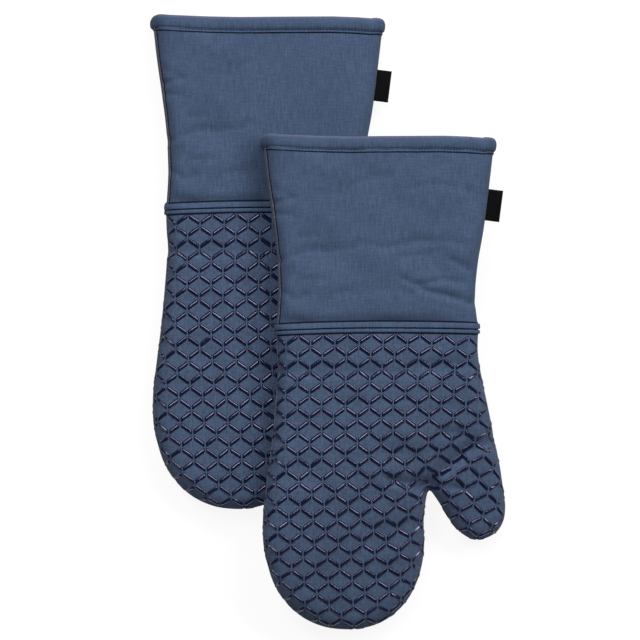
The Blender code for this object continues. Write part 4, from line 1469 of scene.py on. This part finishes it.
class OVENMITT_OT_labels(bpy.types.Operator):
    """Make the plain folded ribbon in the side seam of each cuff"""
    bl_idname = "ovenmitt.labels"
    bl_label = "Ribbon Labels"

    def execute(self, context):
        trim = settings().trim
        reach = trim.label_width - LABEL_INSET + LABEL_SEWN_IN
        half = trim.label_length / 2 - LABEL_SIDE_INSET
        joints = {joint["name"]: joint for joint in frame["joints"]}
        for mitt in MITTS:
            joint = joints[mitt + "_label_bend"]
            place, way = np.array(joint["pos_m"], float), np.array(joint["axis"], float)
            axes = np.array(((way[1], -way[0], 0.0), way, (0.0, 0.0, 1.0)))
            bpy.ops.object.select_all(action="DESELECT")
            columns, rows = LABEL_GRID
            bpy.ops.mesh.primitive_grid_add(x_subdivisions=columns, y_subdivisions=rows, size=1)
            made = bpy.context.active_object
            made.name = mitt + "_folded_ribbon"
            made.data.name = made.name
            for vertex in made.data.vertices:
                vertex.co = place + ribbon_point(vertex.co.x * 2, vertex.co.y * 2, reach, half) @ axes
            uv = made.data.uv_layers[0]
            uv.name = "cloth"
            for loop in uv.data:
                loop.uv = (loop.uv[0] * LABEL_WEAVE[0], loop.uv[1] * LABEL_WEAVE[1])
            made.data.polygons.foreach_set("use_smooth", [True] * len(made.data.polygons))
            apply_modifier(made, "SOLIDIFY", thickness=LABEL_RIBBON, offset=0.0)
            finish_piece(made, mitt + "_label", "woven_ribbon", [mitt + "_label"])
        return {"FINISHED"}


# Stage

# The photograph's width and the middle of the mitts in it, in pixels, and the size of a pixel
PICTURE, MITTS_X, MITTS_Y = 640, 328, 322.5
PIXEL = 0.72 * MM
CAMERA_HEIGHT, SENSOR = 4.0, 36.0
# The height at which the picture is to scale: the middle of the pair
SCALE_HEIGHT = 24 * MM
WHITE = linear("FFFFFF")
FLOOR_GREY, FLOOR_SIZE, FLOOR_BELOW = 0.14, 8.0, 0.2 * MM
# How bright the floor shows, how much more the world shows than it lights, and how much it lights the mitts
FLOOR_SHOWS, WORLD_SHOWS, WORLD_LIGHT = 0.89, 0.94, 0.08
# One broad light beyond the cuffs shapes the folds, and the narrow ones beside it draw a line of light along
# the bars of either slant, where the mitts lie level and where they slope. The fills stay out of the gloss.
# Each has its place, width and length, power, and whether the gloss mirrors it.
LIGHTS = {
    "key_softbox": ((0.1, 1.80, 1.40), (1.4, 0.6), 15.0, True),
    "right_strip": ((1.0, 1.50, 1.65), (0.7, 0.75), 17.0, True),
    "side_strip": ((1.68, 0.78, 1.6), (1.1, 0.5), 20.0, True),
    "left_strip": ((-0.82, 1.25, 2.1), (0.8, 0.7), 16.5, True),
    "high_strip": ((-0.3, 0.75, 2.4), (0.5, 0.35), 5.0, True),
    "near_fill": ((0.2, -1.6, 1.5), (1.4, 1.4), 4.5, False),
    "left_fill": ((-1.9, 0.2, 1.3), (1.4, 1.4), 4.9, False),
}


def add_light(name, place, size, power, mirrored):
    """Adds one soft light that looks at the middle of the mitts."""
    bpy.ops.object.light_add(type="AREA", location=place)
    made = bpy.context.active_object
    made.name = name
    made.data.shape = "RECTANGLE"
    made.data.size, made.data.size_y = size
    made.data.energy = power
    made.visible_glossy = mirrored
    made.rotation_euler = (-Vector(place)).to_track_quat("-Z", "Y").to_euler()


def add_floor():
    """A floor that shows white to the camera and in reflections, and keeps the shadow of the mitts."""
    bpy.ops.object.select_all(action="DESELECT")
    bpy.ops.mesh.primitive_plane_add(size=FLOOR_SIZE, location=(0, 0, -FLOOR_BELOW))
    floor = bpy.context.active_object
    floor.name = "white_table"
    bpy.ops.object.transform_apply(location=True, rotation=False, scale=True)
    tree, shader = new_material("white_table", Roughness=0.8, Base_Color=(*(FLOOR_GREY,) * 3, 1.0),
                                Emission_Color=(*WHITE, 1.0))
    path = add_node(tree, "ShaderNodeLightPath").outputs
    seen = path["Is Camera Ray"]
    for ray in ("Is Glossy Ray", "Is Transmission Ray"):
        seen = add_node(tree, "ShaderNodeMath", {"operation": "MAXIMUM"}, _0=seen, _1=path[ray])
    strength = add_node(tree, "ShaderNodeMath", {"operation": "MULTIPLY"}, _0=seen, _1=FLOOR_SHOWS)
    feed(tree, shader, Emission_Strength=strength)
    floor.data.materials.append(bpy.data.materials["white_table"])


def add_world():
    """A white world that lights the mitts only a little."""
    world = bpy.data.worlds.new("studio")
    bpy.context.scene.world = world
    world.use_nodes = True
    tree = world.node_tree
    seen = add_node(tree, "ShaderNodeLightPath").outputs["Is Camera Ray"]
    strength = add_node(tree, "ShaderNodeMath", {"operation": "MULTIPLY_ADD"}, _0=seen, _1=WORLD_SHOWS,
                        _2=WORLD_LIGHT)
    feed(tree, tree.nodes["Background"], Color=(*WHITE, 1.0), Strength=strength)


def add_camera():
    """A camera straight above, with the frame of the photograph."""
    data = bpy.data.cameras.new("camera")
    camera = bpy.data.objects.new("camera", data)
    bpy.context.scene.collection.objects.link(camera)
    bpy.context.scene.camera = camera
    camera.location = ((PICTURE / 2 - MITTS_X) * PIXEL, (MITTS_Y - PICTURE / 2) * PIXEL, CAMERA_HEIGHT)
    data.sensor_width = SENSOR
    data.lens = SENSOR * (CAMERA_HEIGHT - SCALE_HEIGHT) / (PICTURE * PIXEL)
    data.clip_end = 100.0


class OVENMITT_OT_stage(bpy.types.Operator):
    """Make the white floor, the soft lights, the world and the camera straight above"""
    bl_idname = "ovenmitt.stage"
    bl_label = "Stage"

    def execute(self, context):
        add_floor()
        add_world()
        for name, values in LIGHTS.items():
            add_light(name, *values)
        add_camera()
        context.scene.view_settings.view_transform = "Standard"
        return {"FINISHED"}


# Panel and registration

class OVENMITT_PT_panel(bpy.types.Panel):
    """The sizes and colours of the mitts, and a button for each group of pieces"""
    bl_idname = "OVENMITT_PT_panel"
    bl_label = "Oven Mitts"
    bl_space_type = "VIEW_3D"
    bl_region_type = "UI"
    bl_category = "Oven Mitts"

    def draw(self, context):
        for group in settings():
            box = self.layout.box()
            for key in group.__annotations__:
                box.prop(group, key)
        for operator in OPERATORS:
            self.layout.operator(operator.bl_idname)


OPERATORS = (OVENMITT_OT_finishes, OVENMITT_OT_cloth, OVENMITT_OT_inside, OVENMITT_OT_bars, OVENMITT_OT_welt,
             OVENMITT_OT_binding, OVENMITT_OT_seams, OVENMITT_OT_labels, OVENMITT_OT_stage)
GROUPS = (("mitt_sizes", MittSizes), ("mitt_bars", BarSizes), ("mitt_trim", TrimSizes),
          ("mitt_colours", MittColours))


def register():
    """Registers the settings, the operators and the panel."""
    for name, group in GROUPS:
        bpy.utils.register_class(group)
        setattr(bpy.types.Scene, name, PointerProperty(type=group))
    for made in (*OPERATORS, OVENMITT_PT_panel):
        bpy.utils.register_class(made)


def unregister():
    """Takes back what register did."""
    for made in (OVENMITT_PT_panel, *reversed(OPERATORS)):
        bpy.utils.unregister_class(made)
    for name, group in reversed(GROUPS):
        delattr(bpy.types.Scene, name)
        bpy.utils.unregister_class(group)


def main():
    """Builds the scene step by step."""
    register()
    for operator in OPERATORS:
        group, name = operator.bl_idname.split(".")
        getattr(getattr(bpy.ops, group), name)()


if __name__ == "__main__":
    main()
